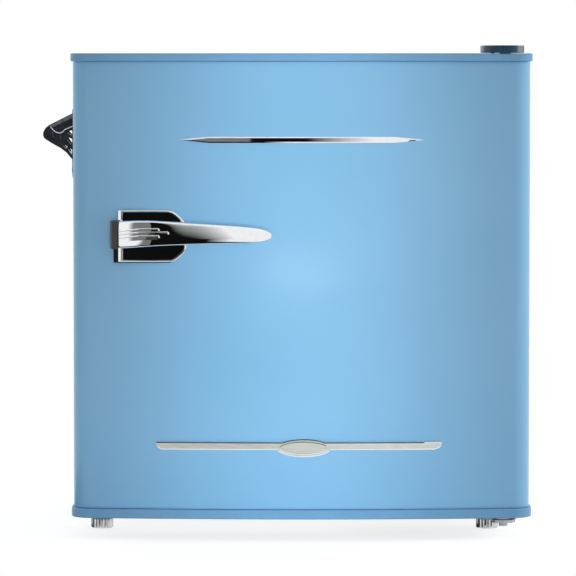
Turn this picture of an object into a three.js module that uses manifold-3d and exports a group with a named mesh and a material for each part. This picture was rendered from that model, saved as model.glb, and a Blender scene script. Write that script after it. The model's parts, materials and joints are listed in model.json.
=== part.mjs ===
// A compact retro bar refrigerator: one bowed door hinged on the right, a chrome pull, a bottle
// opener on the left side, and a cabinet with a moulded liner, a chiller box and a compressor.
//
// Millimetres, +Z up. The pieces are worked out in the cabinet's own frame: x = 0 is the cabinet's
// middle, y = 0 its front face with the door in front of it at negative y, and z = 0 the floor.
// The assembly is then moved so that the origin lies under the middle of its box.

import * as THREE from "three";
import { mergeVertices } from "three/addons/utils/BufferGeometryUtils.js";
import Module from "manifold-3d";

const wasm = await Module();
wasm.setup();

// ---- Driving dimensions ------------------------------------------------------------------------

const GAP = 0.3; // between pieces that touch
const SHEET = 1; // thickness of the steel sheet
const PLASTIC = 2; // wall of the moulded liners

// Cabinet
const CABINET_WIDTH = 461;
const CABINET_DEPTH = 370;
const CABINET_TOP = 490;
const BASE_HEIGHT = 20; // from the floor to the underside of the base
const WRAP_RADIUS = 9; // rounding of the wrap's two upper edges
const SIDE_FOAM = 34; // insulation in the sides, the top and the floor
const BACK_FOAM = 36;

// Inside of the cabinet
const LINER_RADIUS = 18;
const LINER_DRAFT = 3; // each wall leans in by this much at the back
const LINER_LIP = 8; // lip of the liner behind the front face
const RUNNER_DEPTH = 11; // how far the shelf runners stand in at the front
const RUNNER_THICKNESS = 5;
const RUNNER_SLOT = 10; // height of the slot that holds the shelf
const RUNNER_START = 92;
const SHELF_RISES = [171, 215]; // above the liner's floor; the shelf is in the first
const SHELF_FRONT = 98;
const SHELF_FRAME_WIRE = 2.6; // radius
const SHELF_CROSS_WIRE = 1.5; // radius
const SHELF_PITCH = 28;

// Compressor compartment, at the bottom of the back
const COMPARTMENT_DEPTH = 138;
const COMPARTMENT_TOP = 172;
const COMPARTMENT_SLANT = 44;
const COMPARTMENT_FOAM = 28;

// Chiller
const CHILLER_WIDTH = 196;
const CHILLER_HEIGHT = 88;
const CHILLER_DEPTH = 186;
const CHILLER_SHEET = 1.6;
const CHILLER_RADIUS = 12;
const CHILLER_SIDE_GAP = 17; // from the liner's left wall
const CHILLER_HANGER = 7; // from the liner's ceiling to the chiller
const CHANNEL_RISE = 1.8; // height of the refrigerant channels on the chiller's faces
const CHILLER_RAIL = 7; // width of the rails that carry the drip tray
const CHILLER_BACK_GAP = 6;
const CHILLER_STUD_INSET = [30, 45]; // of its hanger studs, from its corners
const BEZEL_DEPTH = 7;
const BEZEL_BORDER = 5;
const FLAP_WALL = 2;
const FLAP_DEPTH = 5.4; // over the stiffening rim round its back
const FLAP_PIN_RADIUS = 1.6;
const TRAY_DEPTH = 20; // height of the drip tray
const TRAY_WALL = 1.8;
const TRAY_OVERHANG = 13; // how far the tray stands out in front of the chiller
const FLAP_LIFT = 1.3; // the flap's foot clears the tray by this much
const EAR_THICKNESS = 3;
const RUNNING = 0.6; // clearance across pieces that slide or turn

// Thermostat
const THERMOSTAT_SIZE = [26, 86, 54];
const THERMOSTAT_Y = 196;
const THERMOSTAT_DROP = 22; // below the ceiling
const KNOB_RADIUS = 17;
const KNOB_HEIGHT = 12;
const SHAFT_RADIUS = 3;
const SHAFT_REACH = 9;

// Door
const DOOR_OVERHANG = 2.5; // of the end caps past the cabinet's sides
const SKIN_INSET = 2.4; // the skin lies this far inside the caps
const DOOR_LIFT = 1.5; // of its underside above the base
const DOOR_REAR = -11;
const DOOR_CROWN = -66; // foremost line of the bow
const BOW_RISE = 12; // how much the front bows
const EDGE_RADIUS = 20;
const TOP_CAP_HEIGHT = 8.3;
const BOTTOM_CAP_HEIGHT = 9.8;
const CAP_PLUG = 7; // how far a cap reaches into the skin
const CAP_BEVEL = 1.4;
const SKIN_RETURN = 11; // width of the skin's rear flanges
const GASKET_WIDTH = 12;
const GASKET_MARGIN = 3.5; // from the cabinet's opening to the gasket
const PLUG_CLEARANCE = 6.5; // between the door's liner and the cabinet's opening
const DIKE_DEPTH = 24; // how far the door's liner reaches into the cabinet
const DIKE_WIDTH = 15;
const POCKET_DEPTH = 26; // how far its pocket is set into the door
const BIN_REACH = 62; // how far the bins reach into the cabinet
const BIN_INSET = 8; // from the dike's outer side to the bins
const BIN_WALL = 6;
const BIN_RISES = [0.5, 173.5]; // of the bins' floors above the pocket's lower edge
const BIN_FLOOR_THICKNESS = 8;
const BIN_FRONTS = [46, 26]; // heights of the bins' front walls
const BIN_BARS = [86, 50]; // heights of the bars above the bins' floors
const BAR_HEIGHT = 9;
const BAR_THICKNESS = 3.4;
const BAR_SEAT = 3; // the bars' ends lie this far inside the bins' outer sides
const LINER_FLANGE_BORDER = 33; // of the door liner's flange, round its dike

// Hinges
const PIN_INSET = 26.5; // from the cabinet's right side to the pins' axis
const PIN_Y = -46;
const PIN_RADIUS = 3.5;
const PIN_LENGTH = 12; // how far the pin reaches into its bush
const BUSH_WALL = 1.5;
const BUSH_FLANGE = 2.5; // how far the bush's flange stands out
const HINGE_NOSE = 12; // radius of a hinge plate round its pin
const HINGE_PLATE = 3;
const HINGE_WIDTH = 38;
const TOP_SCREW_PLACES = [[-9, 20], [9, 44]]; // from the pins' axis and from the front face
const LOWER_SCREW_PLACES = [[-11, 14], [11, 14]];
const HINGE_REACH = 60; // how far the upper hinge lies back on the cabinet
const LOWER_HINGE_REACH = 26;
const HINGE_RELIEF = 0.9; // the upper hinge clears the door by this much more
const HINGE_COVER_HEIGHT = 8; // above the cabinet
const HINGE_COVER_WALL = 1.6;
const SCREW_RADIUS = 2;
const SCREW_HEAD_RADIUS = 3.8;
const SCREW_HEAD_HEIGHT = 2.2;

// Feet
const FOOT_RADIUS = 11.5;
const FOOT_PAD_HEIGHT = 11;
const FOOT_STUD_RADIUS = 4;
const FOOT_STUD_REACH = 22; // of the stud above the base
const FOOT_FLUTES = 14;
const FRONT_FOOT_INSETS = [24.5, 38.5]; // from the left side and from the right side
const FRONT_FOOT_Y = 44;
const REAR_FOOT_INSET = [28, 24];
const REAR_FOOT_RADIUS = 11;

// Handle
const HANDLE_INSET = 49.4; // from the door's left edge
const HANDLE_DROP = 157.1; // from the door's top
const HANDLE_WIDTH = 68.1;
const HANDLE_HEIGHT = 51.5;
const HANDLE_BASE = 8; // thickness of the base
const HANDLE_RIM = 1.6;
const HANDLE_SWEEP = 18; // of the base's right corners
const INSERT_DEPTH = 2.4;
const PAD = 2; // thickness of the pad behind the handle
const PAD_LEFT = 5; // how far the pad shows past the base's left edge
const HANDLE_BAND = 5; // width of the band at the base's left edge
const KNUCKLE_WIDTH = 7;
const KNUCKLE_HEIGHT = 29.4;
const KNUCKLE_DROP = 1.1; // of its middle below the lever's axis
const LEVER_LENGTH = 154.3;
const LEVER_DROP = 22.9; // of its axis below the base's top
const LEVER_SHOULDER = 66; // from its root to where its straight taper starts
const LEVER_STANDOFF = 38; // foremost line of the lever, from the door's face
const LEVER_RIB = 0.9; // how far its speed lines stand out
const LEVER_RIBS = [[5.4, 42.1], [1.8, 51.5], [-1.5, 42.1]]; // their heights and lengths

// Trim
const TRIM_WIDTH = 288;
const TRIM_SHIFT = -2.7; // of its middle from the door's
const TRIM_RISE = 70.3; // above the door's underside
const TRIM_HEIGHT = 7.5;
const TRIM_THICKNESS = 2.4;
const MEDALLION_WIDTH = 55;
const MEDALLION_HEIGHT = 18;
const MEDALLION_SHIFT = [5, 1.8]; // from the strip's middle and from its lower edge
const UPPER_TRIM_WIDTH = 246;
const UPPER_TRIM_HEIGHT = 6;
const UPPER_TRIM_POINT = 30; // length of each pointed end
const UPPER_TRIM_DROP = 86.6; // below the door's top

// Bottle opener
const OPENER_REACH = 36;
const OPENER_WIDTH = 40;
const OPENER_Y = 48;
const OPENER_DROP = 59; // of its hood below the cabinet's top
const OPENER_NOSE_DROP = 24; // of its nose below the hood's root
const OPENER_HEEL_DROP = 52;
const OPENER_FOOT_DROP = 69;
const OPENER_SCREW_DROPS = [61, 18];
const OPENER_PLATE = 3;
const OPENER_WALL = 3.4;

// Cooling circuit
const CONDENSER_RADIUS = 2.4;
const CONDENSER_RISES = 5; // legs on each side
const CONDENSER_ENDS = [33, 53.3]; // from the compartment to the first leg, from the last to the top
const CONDENSER_FRONT = 46;
const CONDENSER_INSET = 40; // of its rear bends from the cabinet's back
const CONDENSER_BEND = 20;
const CONDENSER_TAIL_DROP = 54; // of its two ends below the compartment's top
const COMPRESSOR_INSET = 168.5; // of its middle from the cabinet's right side
const COMPRESSOR_SETBACK = 76; // of its middle behind the compartment's front
const COMPRESSOR_RADIUS = 52;
const COMPRESSOR_STRETCH = 1.22; // longer along X than along Y
const COMPRESSOR_HEIGHT = 112;
const SUCTION_REACH = 108; // of the suction line's rise from the compressor's middle
const SUCTION_HEIGHT = 74; // where that line leaves the shell, above the legs
const DISCHARGE_LOOP = [58, 66, 30]; // the loop's drop, and its two sides from the condenser
const CONDENSER_JOINT = 8; // height of the two joints above the condenser's ends
const DRIER_INSET = 62; // from the condenser to the drier
const DRIER_LENGTH = 82;
const DRIER_DROP = 12; // of its upper end below the joint
const STUD_RADIUS = 3;
const GLAND_RADIUS = 7;
const GROMMET_HEIGHT = 13;
const GROMMET_RADIUS = 9;
const LEG_SHEET = 2.5;
const LEG_SPREAD = [56, 42]; // half distances between the compressor's grommets

// ---- Sizes that follow from them ---------------------------------------------------------------

const HALF = CABINET_WIDTH / 2;
const BASE_TOP = BASE_HEIGHT + SHEET;
const OPENING_HALF = HALF - SHEET - SIDE_FOAM - PLASTIC;
const FLOOR = BASE_TOP + SIDE_FOAM + PLASTIC;
const CEILING = CABINET_TOP - SHEET - SIDE_FOAM - PLASTIC;
const LINER_BACK = CABINET_DEPTH - SHEET - BACK_FOAM - PLASTIC;
const COMPARTMENT_FRONT = CABINET_DEPTH - COMPARTMENT_DEPTH;
const DOOR_HALF = HALF + DOOR_OVERHANG;
const DOOR_BOTTOM = BASE_HEIGHT + DOOR_LIFT;
const DOOR_TOP = CABINET_TOP;
const SHELF_HEIGHTS = SHELF_RISES.map((rise) => FLOOR + rise);
const PIN_X = HALF - PIN_INSET;
const TOP_HINGE_SCREWS = TOP_SCREW_PLACES.map(([x, y]) => [PIN_X + x, y]);
const LOWER_HINGE_SCREWS = LOWER_SCREW_PLACES.map(([x, y]) => [PIN_X + x, y]);
const HINGE_COVER_TOP = CABINET_TOP + HINGE_COVER_HEIGHT;
const FRONT_FEET = [
  [FRONT_FOOT_INSETS[0] - HALF, FRONT_FOOT_Y], [HALF - FRONT_FOOT_INSETS[1], FRONT_FOOT_Y],
];
const SKIN_HALF = DOOR_HALF - SKIN_INSET;
const SKIN_SPAN = [DOOR_BOTTOM + BOTTOM_CAP_HEIGHT + GAP, DOOR_TOP - TOP_CAP_HEIGHT - GAP];
const LIP_SPAN = [SHEET + GAP, SHEET + GAP + PLASTIC]; // the liner's lip, behind the front face
const LINER_STEP = SHEET + COMPARTMENT_FOAM; // from the compartment's panel to the liner
const CHILLER_LEFT = CHILLER_SIDE_GAP - OPENING_HALF;
const CHILLER_RIGHT = CHILLER_LEFT + CHILLER_WIDTH;
const CHILLER_TOP = CEILING - CHILLER_HANGER;
const CHILLER_BOTTOM = CHILLER_TOP - CHILLER_HEIGHT;
const CHILLER_BACK = LINER_BACK - CHILLER_BACK_GAP;
const CHILLER_FRONT = CHILLER_BACK - CHILLER_DEPTH;
const BEZEL_FRONT = CHILLER_FRONT - GAP - BEZEL_DEPTH;
const BARREL_RADIUS = FLAP_PIN_RADIUS + 1.6; // round the flap's pins
const FLAP_AXIS = [BEZEL_FRONT - GAP - BARREL_RADIUS, CHILLER_TOP - BARREL_RADIUS - 2];
const PLUG_HALF = OPENING_HALF - PLUG_CLEARANCE;
const PLUG_SPAN = [FLOOR + PLUG_CLEARANCE, CEILING - PLUG_CLEARANCE];
const BIN_HALF_WIDTH = PLUG_HALF - BIN_INSET;
const BIN_FLOORS = BIN_RISES.map((rise) => PLUG_SPAN[0] + DIKE_WIDTH + rise);
const DOOR_FLANGE = DOOR_REAR + GAP + PLASTIC; // rear face of the door liner's flange
const BOW_CHORD = SKIN_HALF - EDGE_RADIUS;
const BOW_RADIUS = (BOW_CHORD ** 2 + BOW_RISE ** 2) / (2 * BOW_RISE);
const BOW_CENTRE = DOOR_CROWN + BOW_RADIUS;
const HANDLE_LEFT = HANDLE_INSET - DOOR_HALF;
const HANDLE_RIGHT = HANDLE_LEFT + HANDLE_WIDTH;
const HANDLE_TOP = DOOR_TOP - HANDLE_DROP;
const HANDLE_BOTTOM = HANDLE_TOP - HANDLE_HEIGHT;
const LEVER_TIP = HANDLE_LEFT + LEVER_LENGTH;
const LEVER_AXIS = HANDLE_TOP - LEVER_DROP;
const TRIM_LEFT = TRIM_SHIFT - TRIM_WIDTH / 2;
const TRIM_RIGHT = TRIM_SHIFT + TRIM_WIDTH / 2;
const TRIM_BOTTOM = DOOR_BOTTOM + TRIM_RISE;
const UPPER_TRIM_Z = DOOR_TOP - UPPER_TRIM_DROP;
const OPENER_TOP = CABINET_TOP - OPENER_DROP;
const OPENER_NOSE = OPENER_TOP - OPENER_NOSE_DROP;
const OPENER_HEEL = OPENER_TOP - OPENER_HEEL_DROP;
const OPENER_FOOT = OPENER_TOP - OPENER_FOOT_DROP;
const OPENER_SCREWS = OPENER_SCREW_DROPS.map((drop) => OPENER_TOP - drop);
const CONDENSER_BACK = CABINET_DEPTH - CONDENSER_INSET;
const CONDENSER_TAIL = COMPARTMENT_TOP - CONDENSER_TAIL_DROP;
const CONDENSER_CROSS = CABINET_TOP - SHEET - GAP - CONDENSER_RADIUS;
const CONDENSER_LEGS = legHeights(COMPARTMENT_TOP + CONDENSER_ENDS[0],
  CONDENSER_CROSS - CONDENSER_ENDS[1]);
const RAIL_SPAN = [CHILLER_BOTTOM, CHILLER_BOTTOM + CHILLER_SHEET];
const TRAY_TOP = RAIL_SPAN[1] + GAP + TRAY_WALL;
const FULL_HEIGHT = [0, 2 * CABINET_TOP];
const CONDENSER_X = HALF - SHEET - GAP - CONDENSER_RADIUS;
const COMPRESSOR_X = HALF - COMPRESSOR_INSET;
const COMPRESSOR_Y = COMPARTMENT_FRONT + COMPRESSOR_SETBACK;
const COMPRESSOR_BASE = BASE_HEIGHT + 2 * SHEET + 2 * GAP + GROMMET_HEIGHT; // underside of its legs
const ARC = 2; // a round corner of an extruded outline has twice as many facets
const FINE = 5; // the same, for curves that show
const ROUND = 14; // facets round a turned piece

/** Evenly spaced heights for the condenser's legs. */
function legHeights(first, last) {
  const step = (last - first) / (CONDENSER_RISES - 1);
  return Array.from({ length: CONDENSER_RISES }, (_, i) => first + i * step);
}

// ---- Finishes ----------------------------------------------------------------------------------

const FINISHES = {
  bluePaint: { color: 0x8bc2e9, roughness: 0.35, metalness: 0 },
  blueCap: { color: 0x7fb4dc, roughness: 0.45, metalness: 0 },
  darkBlue: { color: 0x2f5a73, roughness: 0.45, metalness: 0 },
  zinc: { color: 0xa9adb0, roughness: 0.45, metalness: 0.8 },
  chrome: { color: 0xe6e8ea, roughness: 0.08, metalness: 1 },
  blackChrome: { color: 0x1b1d22, roughness: 0.12, metalness: 0.9 },
  satin: { color: 0xc3c7c0, roughness: 0.35, metalness: 0.9 },
  aluminium: { color: 0xc9ccce, roughness: 0.4, metalness: 0.9 },
  copper: { color: 0xb5714a, roughness: 0.35, metalness: 0.9 },
  whitePlastic: { color: 0xf1f3f2, roughness: 0.4, metalness: 0 },
  clearPlastic: { color: 0xdfe9ee, roughness: 0.15, metalness: 0 },
  greyPlastic: { color: 0x474747, roughness: 0.5, metalness: 0 },
  blackPlastic: { color: 0x111111, roughness: 0.35, metalness: 0 },
  blackPaint: { color: 0x17181a, roughness: 0.4, metalness: 0 },
  rubber: { color: 0x2a2a2a, roughness: 0.85, metalness: 0 },
  paleRubber: { color: 0xdcdedd, roughness: 0.7, metalness: 0 },
  foam: { color: 0xe6d9a8, roughness: 0.9, metalness: 0 },
};

// ---- Making solids -----------------------------------------------------------------------------

const assembly = new THREE.Group();

/** A closed geometry as a solid that can be joined and cut. */
function solid(geometry) {
  const bare = geometry.clone();
  bare.deleteAttribute("normal");
  bare.deleteAttribute("uv");
  const merged = mergeVertices(bare, 1e-4);
  const corners = merged.index.array;
  const kept = [];
  for (let i = 0; i < corners.length; i += 3) {
    const [a, b, c] = corners.slice(i, i + 3);
    if (a !== b && b !== c && c !== a) kept.push(a, b, c); // a pole's flat triangles are left out
  }
  const vertProperties = Float32Array.from(merged.attributes.position.array);
  const mesh = new wasm.Mesh({ numProp: 3, vertProperties, triVerts: Uint32Array.from(kept) });
  return new wasm.Manifold(mesh);
}

/** Adds one named piece, with a material of its own, to the refrigerator. */
function piece(name, form, finish) {
  const { vertProperties, triVerts } = form.getMesh();
  const geometry = new THREE.BufferGeometry();
  geometry.setAttribute("position", new THREE.BufferAttribute(vertProperties, 3));
  geometry.setIndex(new THREE.BufferAttribute(triVerts, 1));
  geometry.computeVertexNormals();
  const material = new THREE.MeshStandardMaterial({ ...FINISHES[finish], flatShading: true });
  const mesh = new THREE.Mesh(geometry, material);
  mesh.name = name;
  assembly.add(mesh);
}

/** Several solids as one. */
const join = (...forms) => forms.reduce((whole, form) => whole.add(form));

/** A box between two values on each axis. */
function span([x0, x1], [y0, y1], [z0, z1]) {
  const box = new THREE.BoxGeometry(x1 - x0, y1 - y0, z1 - z0);
  box.translate((x0 + x1) / 2, (y0 + y1) / 2, (z0 + z1) / 2);
  return solid(box);
}

/** A shape swept straight along its normal. */
function extruded(shape, depth, bevel = {}) {
  return new THREE.ExtrudeGeometry(shape, {
    depth, bevelEnabled: false, curveSegments: ARC, ...bevel,
  });
}

/** An outline in plan (x, y), raised from z0 to z1. */
function flat(shape, [z0, z1], curveSegments = ARC) {
  return solid(extruded(shape, z1 - z0, { curveSegments }).translate(0, 0, z0));
}

/** An outline seen from the front (x, z), swept from y0 to y1. */
function upright(shape, [y0, y1], curveSegments = ARC) {
  const swept = extruded(shape, y1 - y0, { curveSegments });
  return solid(swept.rotateX(Math.PI / 2).translate(0, y1, 0));
}

/** An outline seen from the side (y, z), swept from x0 to x1. */
function sideways(shape, [x0, x1]) {
  const turn = new THREE.Matrix4().makeBasis(
    new THREE.Vector3(0, 1, 0), new THREE.Vector3(0, 0, 1), new THREE.Vector3(1, 0, 0));
  return solid(extruded(shape, x1 - x0).applyMatrix4(turn).translate(x0, 0, 0));
}

/** A profile of [radius, height] pairs turned about a line through a point. */
function turned(profile, at, along = [0, 0, 1], sides = ROUND) {
  const points = profile.map(([radius, height]) => new THREE.Vector2(radius, height));
  const lathe = new THREE.LatheGeometry(points, sides);
  const up = new THREE.Vector3(0, 1, 0);
  const turn = new THREE.Quaternion().setFromUnitVectors(up, new THREE.Vector3(...along));
  return solid(lathe.applyQuaternion(turn).translate(...at));
}

/** A round bar of one radius from a point, along a direction. */
function bar(radius, length, at, along = [0, 0, 1], sides = ROUND) {
  return turned([[0, 0], [radius, 0], [radius, length], [0, length]], at, along, sides);
}

/** A rectangle with round corners. */
function roundedRect([x0, x1], [y0, y1], radius) {
  const shape = new THREE.Shape();
  shape.moveTo(x0 + radius, y0);
  shape.lineTo(x1 - radius, y0);
  shape.absarc(x1 - radius, y0 + radius, radius, -Math.PI / 2, 0);
  shape.lineTo(x1, y1 - radius);
  shape.absarc(x1 - radius, y1 - radius, radius, 0, Math.PI / 2);
  shape.lineTo(x0 + radius, y1);
  shape.absarc(x0 + radius, y1 - radius, radius, Math.PI / 2, Math.PI);
  shape.lineTo(x0, y0 + radius);
  shape.absarc(x0 + radius, y0 + radius, radius, Math.PI, 1.5 * Math.PI);
  return shape;
}

/** A closed outline through plain points. */
function polygon(points) {
  return new THREE.Shape(points.map(([x, y]) => new THREE.Vector2(x, y)));
}

/** An open line moved sideways, to its left, with its corners mitred. */
function offsetLine(points, distance) {
  const normals = points.slice(1).map(([x, y], i) => {
    const along = new THREE.Vector2(x - points[i][0], y - points[i][1]).normalize();
    return new THREE.Vector2(-along.y, along.x);
  });
  return points.map(([x, y], i) => {
    const before = normals[Math.max(i - 1, 0)];
    const after = normals[Math.min(i, normals.length - 1)];
    const mitre = before.clone().add(after).multiplyScalar(distance / (1 + before.dot(after)));
    return [x + mitre.x, y + mitre.y];
  });
}

/** A tube's line: straight stretches joined by round bends, one station at each change. */
class BentLine extends THREE.Curve {
  constructor(points, bend, stepsPerBend = 4) {
    super();
    const corners = points.map((point) => new THREE.Vector3(...point));
    this.stations = [];
    corners.forEach((corner, i) => {
      const before = corners[i - 1];
      const after = corners[i + 1];
      if (!before || !after) {
        const along = after ? after.clone().sub(corner) : corner.clone().sub(before);
        this.stations.push({ point: corner, tangent: along.normalize() });
        return;
      }
      const inward = corner.clone().sub(before).normalize();
      const outward = after.clone().sub(corner).normalize();
      const angle = inward.angleTo(outward);
      const reach = bend * Math.tan(angle / 2);
      const start = corner.clone().addScaledVector(inward, -reach);
      const side = outward.clone().addScaledVector(inward, -inward.dot(outward)).normalize();
      for (let step = 0; step <= stepsPerBend; step += 1) {
        const turn = (angle * step) / stepsPerBend;
        const point = start.clone()
          .addScaledVector(inward, bend * Math.sin(turn))
          .addScaledVector(side, bend * (1 - Math.cos(turn)));
        const tangent = inward.clone().multiplyScalar(Math.cos(turn))
          .addScaledVector(side, Math.sin(turn));
        this.stations.push({ point, tangent });
      }
    });
    this.steps = this.stations.length - 1;
  }

  getPoint(t, target = new THREE.Vector3()) {
    return target.copy(this.stations[Math.round(t * this.steps)].point);
  }

  getPointAt(u, target) {
    return this.getPoint(u, target);
  }

  getTangentAt(u, target = new THREE.Vector3()) {
    return target.copy(this.stations[Math.round(u * this.steps)].tangent);
  }
}

/** A round tube along a bent line. */
function tube(points, bend, radius, sides = 8, stepsPerBend = 4) {
  const line = new BentLine(points, bend, stepsPerBend);
  const section = new THREE.Shape();
  for (let i = 0; i < sides; i += 1) {
    const angle = (2 * Math.PI * i) / sides;
    const corner = [radius * Math.cos(angle), radius * Math.sin(angle)];
    if (i === 0) section.moveTo(...corner);
    else section.lineTo(...corner);
  }
  section.closePath();
  const sweep = { steps: line.steps, extrudePath: line, bevelEnabled: false };
  return solid(new THREE.ExtrudeGeometry(section, sweep));
}

/** A pan-head screw whose shank points along a direction from its head. */
function screw(at, along, shank) {
  return turned([
    [0, -SCREW_HEAD_HEIGHT], [SCREW_HEAD_RADIUS * 0.7, -SCREW_HEAD_HEIGHT], [SCREW_HEAD_RADIUS, 0],
    [SCREW_RADIUS, 0], [SCREW_RADIUS, shank], [0, shank],
  ], at, along, 8);
}

// ---- Cabinet: painted wrap, rear panels, base and insulation -----------------------------------

/** The cabinet's section from the front, set in from its outer faces. */
function cabinetOutline(inset, bottom) {
  const half = HALF - inset;
  const top = CABINET_TOP - inset;
  const radius = WRAP_RADIUS - inset;
  const shape = new THREE.Shape();
  shape.moveTo(-half, bottom);
  shape.lineTo(half, bottom);
  shape.lineTo(half, top - radius);
  shape.absarc(half - radius, top - radius, radius, 0, Math.PI / 2);
  shape.lineTo(radius - half, top);
  shape.absarc(radius - half, top - radius, radius, Math.PI / 2, Math.PI);
  return shape;
}

/** The hollow of the inner liner, grown outwards, with the draft of its walls. */
function linerBox(grow, front) {
  const middle = (FLOOR + CEILING) / 2;
  const tall = (CEILING - FLOOR) / 2;
  const shape = roundedRect([-OPENING_HALF - grow, OPENING_HALF + grow],
    [FLOOR - grow, CEILING + grow], LINER_RADIUS + grow);
  const depth = LINER_BACK + grow - front;
  const geometry = extruded(shape, depth).rotateX(Math.PI / 2).translate(0, front + depth, 0);
  const place = geometry.attributes.position;
  for (let i = 0; i < place.count; i += 1) {
    const lean = (LINER_DRAFT * place.getY(i)) / LINER_BACK;
    place.setX(i, place.getX(i) * (1 - lean / OPENING_HALF));
    place.setZ(i, middle + (place.getZ(i) - middle) * (1 - lean / tall));
  }
  return solid(geometry);
}

/** The step over the compressor, as a line seen from the side, moved outwards from the panel. */
function stepLine(distance) {
  return offsetLine([
    [COMPARTMENT_FRONT, 0],
    [COMPARTMENT_FRONT, COMPARTMENT_TOP - COMPARTMENT_SLANT],
    [COMPARTMENT_FRONT + COMPARTMENT_SLANT, COMPARTMENT_TOP],
    [CABINET_DEPTH + SHEET, COMPARTMENT_TOP],
  ], distance);
}

/** Everything behind and below the step, across the whole cabinet. */
function stepBlock(distance) {
  const line = stepLine(distance);
  return sideways(polygon([...line].reverse().concat([[CABINET_DEPTH + SHEET, 0]])),
    [-CABINET_WIDTH, CABINET_WIDTH]);
}

/** The mouth of the liner, cut through the sheets of the cabinet's front. */
function mouthCut() {
  const room = PLASTIC + GAP;
  return upright(roundedRect([-OPENING_HALF - room, OPENING_HALF + room],
    [FLOOR - room, CEILING + room], LINER_RADIUS + room), [-1, SHEET + 1]);
}

/** A clearance hole for a screw, through a sheet at a point. */
function screwHole(at, along) {
  const start = at.map((value, i) => value - 2 * SHEET * Math.abs(along[i]));
  return bar(SCREW_RADIUS + GAP, 4 * SHEET, start, along, 8);
}

function cabinetWrap() {
  const outer = upright(cabinetOutline(0, BASE_HEIGHT), [0, CABINET_DEPTH]);
  const inner = upright(cabinetOutline(SHEET, BASE_HEIGHT - 1), [SHEET, CABINET_DEPTH + 1]);
  const half = OPENING_HALF + PLASTIC + GAP;
  const sill = span([-half, half], [-1, SHEET + 1], [BASE_HEIGHT - 1, FLOOR + LINER_RADIUS]);
  let wrap = outer.subtract(inner).subtract(mouthCut()).subtract(sill);
  for (const [x, y] of TOP_HINGE_SCREWS) {
    wrap = wrap.subtract(screwHole([x, y, CABINET_TOP], [0, 0, 1]));
  }
  for (const z of OPENER_SCREWS) {
    wrap = wrap.subtract(screwHole([-HALF, OPENER_Y, z], [1, 0, 0]));
  }
  return wrap;
}

/** The rail across the front, under the opening. */
function frontRail() {
  const half = OPENING_HALF + PLASTIC;
  return span([-half, half], [0, SHEET], [BASE_HEIGHT, FLOOR + LINER_RADIUS - GAP])
    .subtract(mouthCut());
}

function backPanel() {
  return upright(cabinetOutline(SHEET + GAP, COMPARTMENT_TOP + SHEET + GAP),
    [CABINET_DEPTH - SHEET, CABINET_DEPTH]);
}

/** The bent panel round the compressor compartment, notched for the condenser's two ends. */
function compartmentPanel() {
  const half = HALF - SHEET - GAP;
  const section = polygon(stepLine(0).concat(stepLine(SHEET).reverse()));
  const keep = span([-half, half], [0, CABINET_DEPTH], [BASE_TOP + SHEET + GAP, CABINET_TOP]);
  let panel = sideways(section, [-half, half]).intersect(keep);
  const room = CONDENSER_RADIUS + 2 * GAP;
  for (const x of [-CONDENSER_X, CONDENSER_X]) {
    panel = panel.subtract(span([x - room, x + room],
      [CONDENSER_BACK - room, CONDENSER_BACK + room],
      [COMPARTMENT_TOP - 1, COMPARTMENT_TOP + 2 * SHEET]));
  }
  return panel;
}

/** The base: a pan under the insulation, with a threaded boss over each front foot. */
function basePan() {
  const half = HALF - SHEET - GAP;
  const boss = FOOT_STUD_RADIUS + 4;
  let pan = span([-half, half], [SHEET + GAP, COMPARTMENT_FRONT], [BASE_HEIGHT, BASE_TOP]);
  for (const [x, y] of FRONT_FEET) {
    pan = pan.add(bar(boss, FOOT_STUD_REACH + SHEET, [x, y, BASE_HEIGHT]));
    pan = pan.subtract(bar(FOOT_STUD_RADIUS + GAP, FOOT_STUD_REACH + SHEET,
      [x, y, BASE_HEIGHT - SHEET]));
  }
  for (const [x, y] of LOWER_HINGE_SCREWS) {
    pan = pan.subtract(screwHole([x, y, BASE_HEIGHT], [0, 0, 1]));
  }
  return pan;
}

/** The plate across the compressor compartment, with a stud for each of the four grommets. */
function compressorPlate() {
  const half = HALF - SHEET - GAP;
  let plate = span([-half, half], [COMPARTMENT_FRONT + GAP, CABINET_DEPTH - SHEET],
    [BASE_HEIGHT, BASE_HEIGHT + 2 * SHEET]);
  for (const [x, y] of grommetPlaces()) {
    plate = plate.add(bar(STUD_RADIUS, COMPRESSOR_BASE + LEG_SHEET + 4 - BASE_HEIGHT,
      [x, y, BASE_HEIGHT], [0, 0, 1], 10));
  }
  return plate;
}

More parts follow.
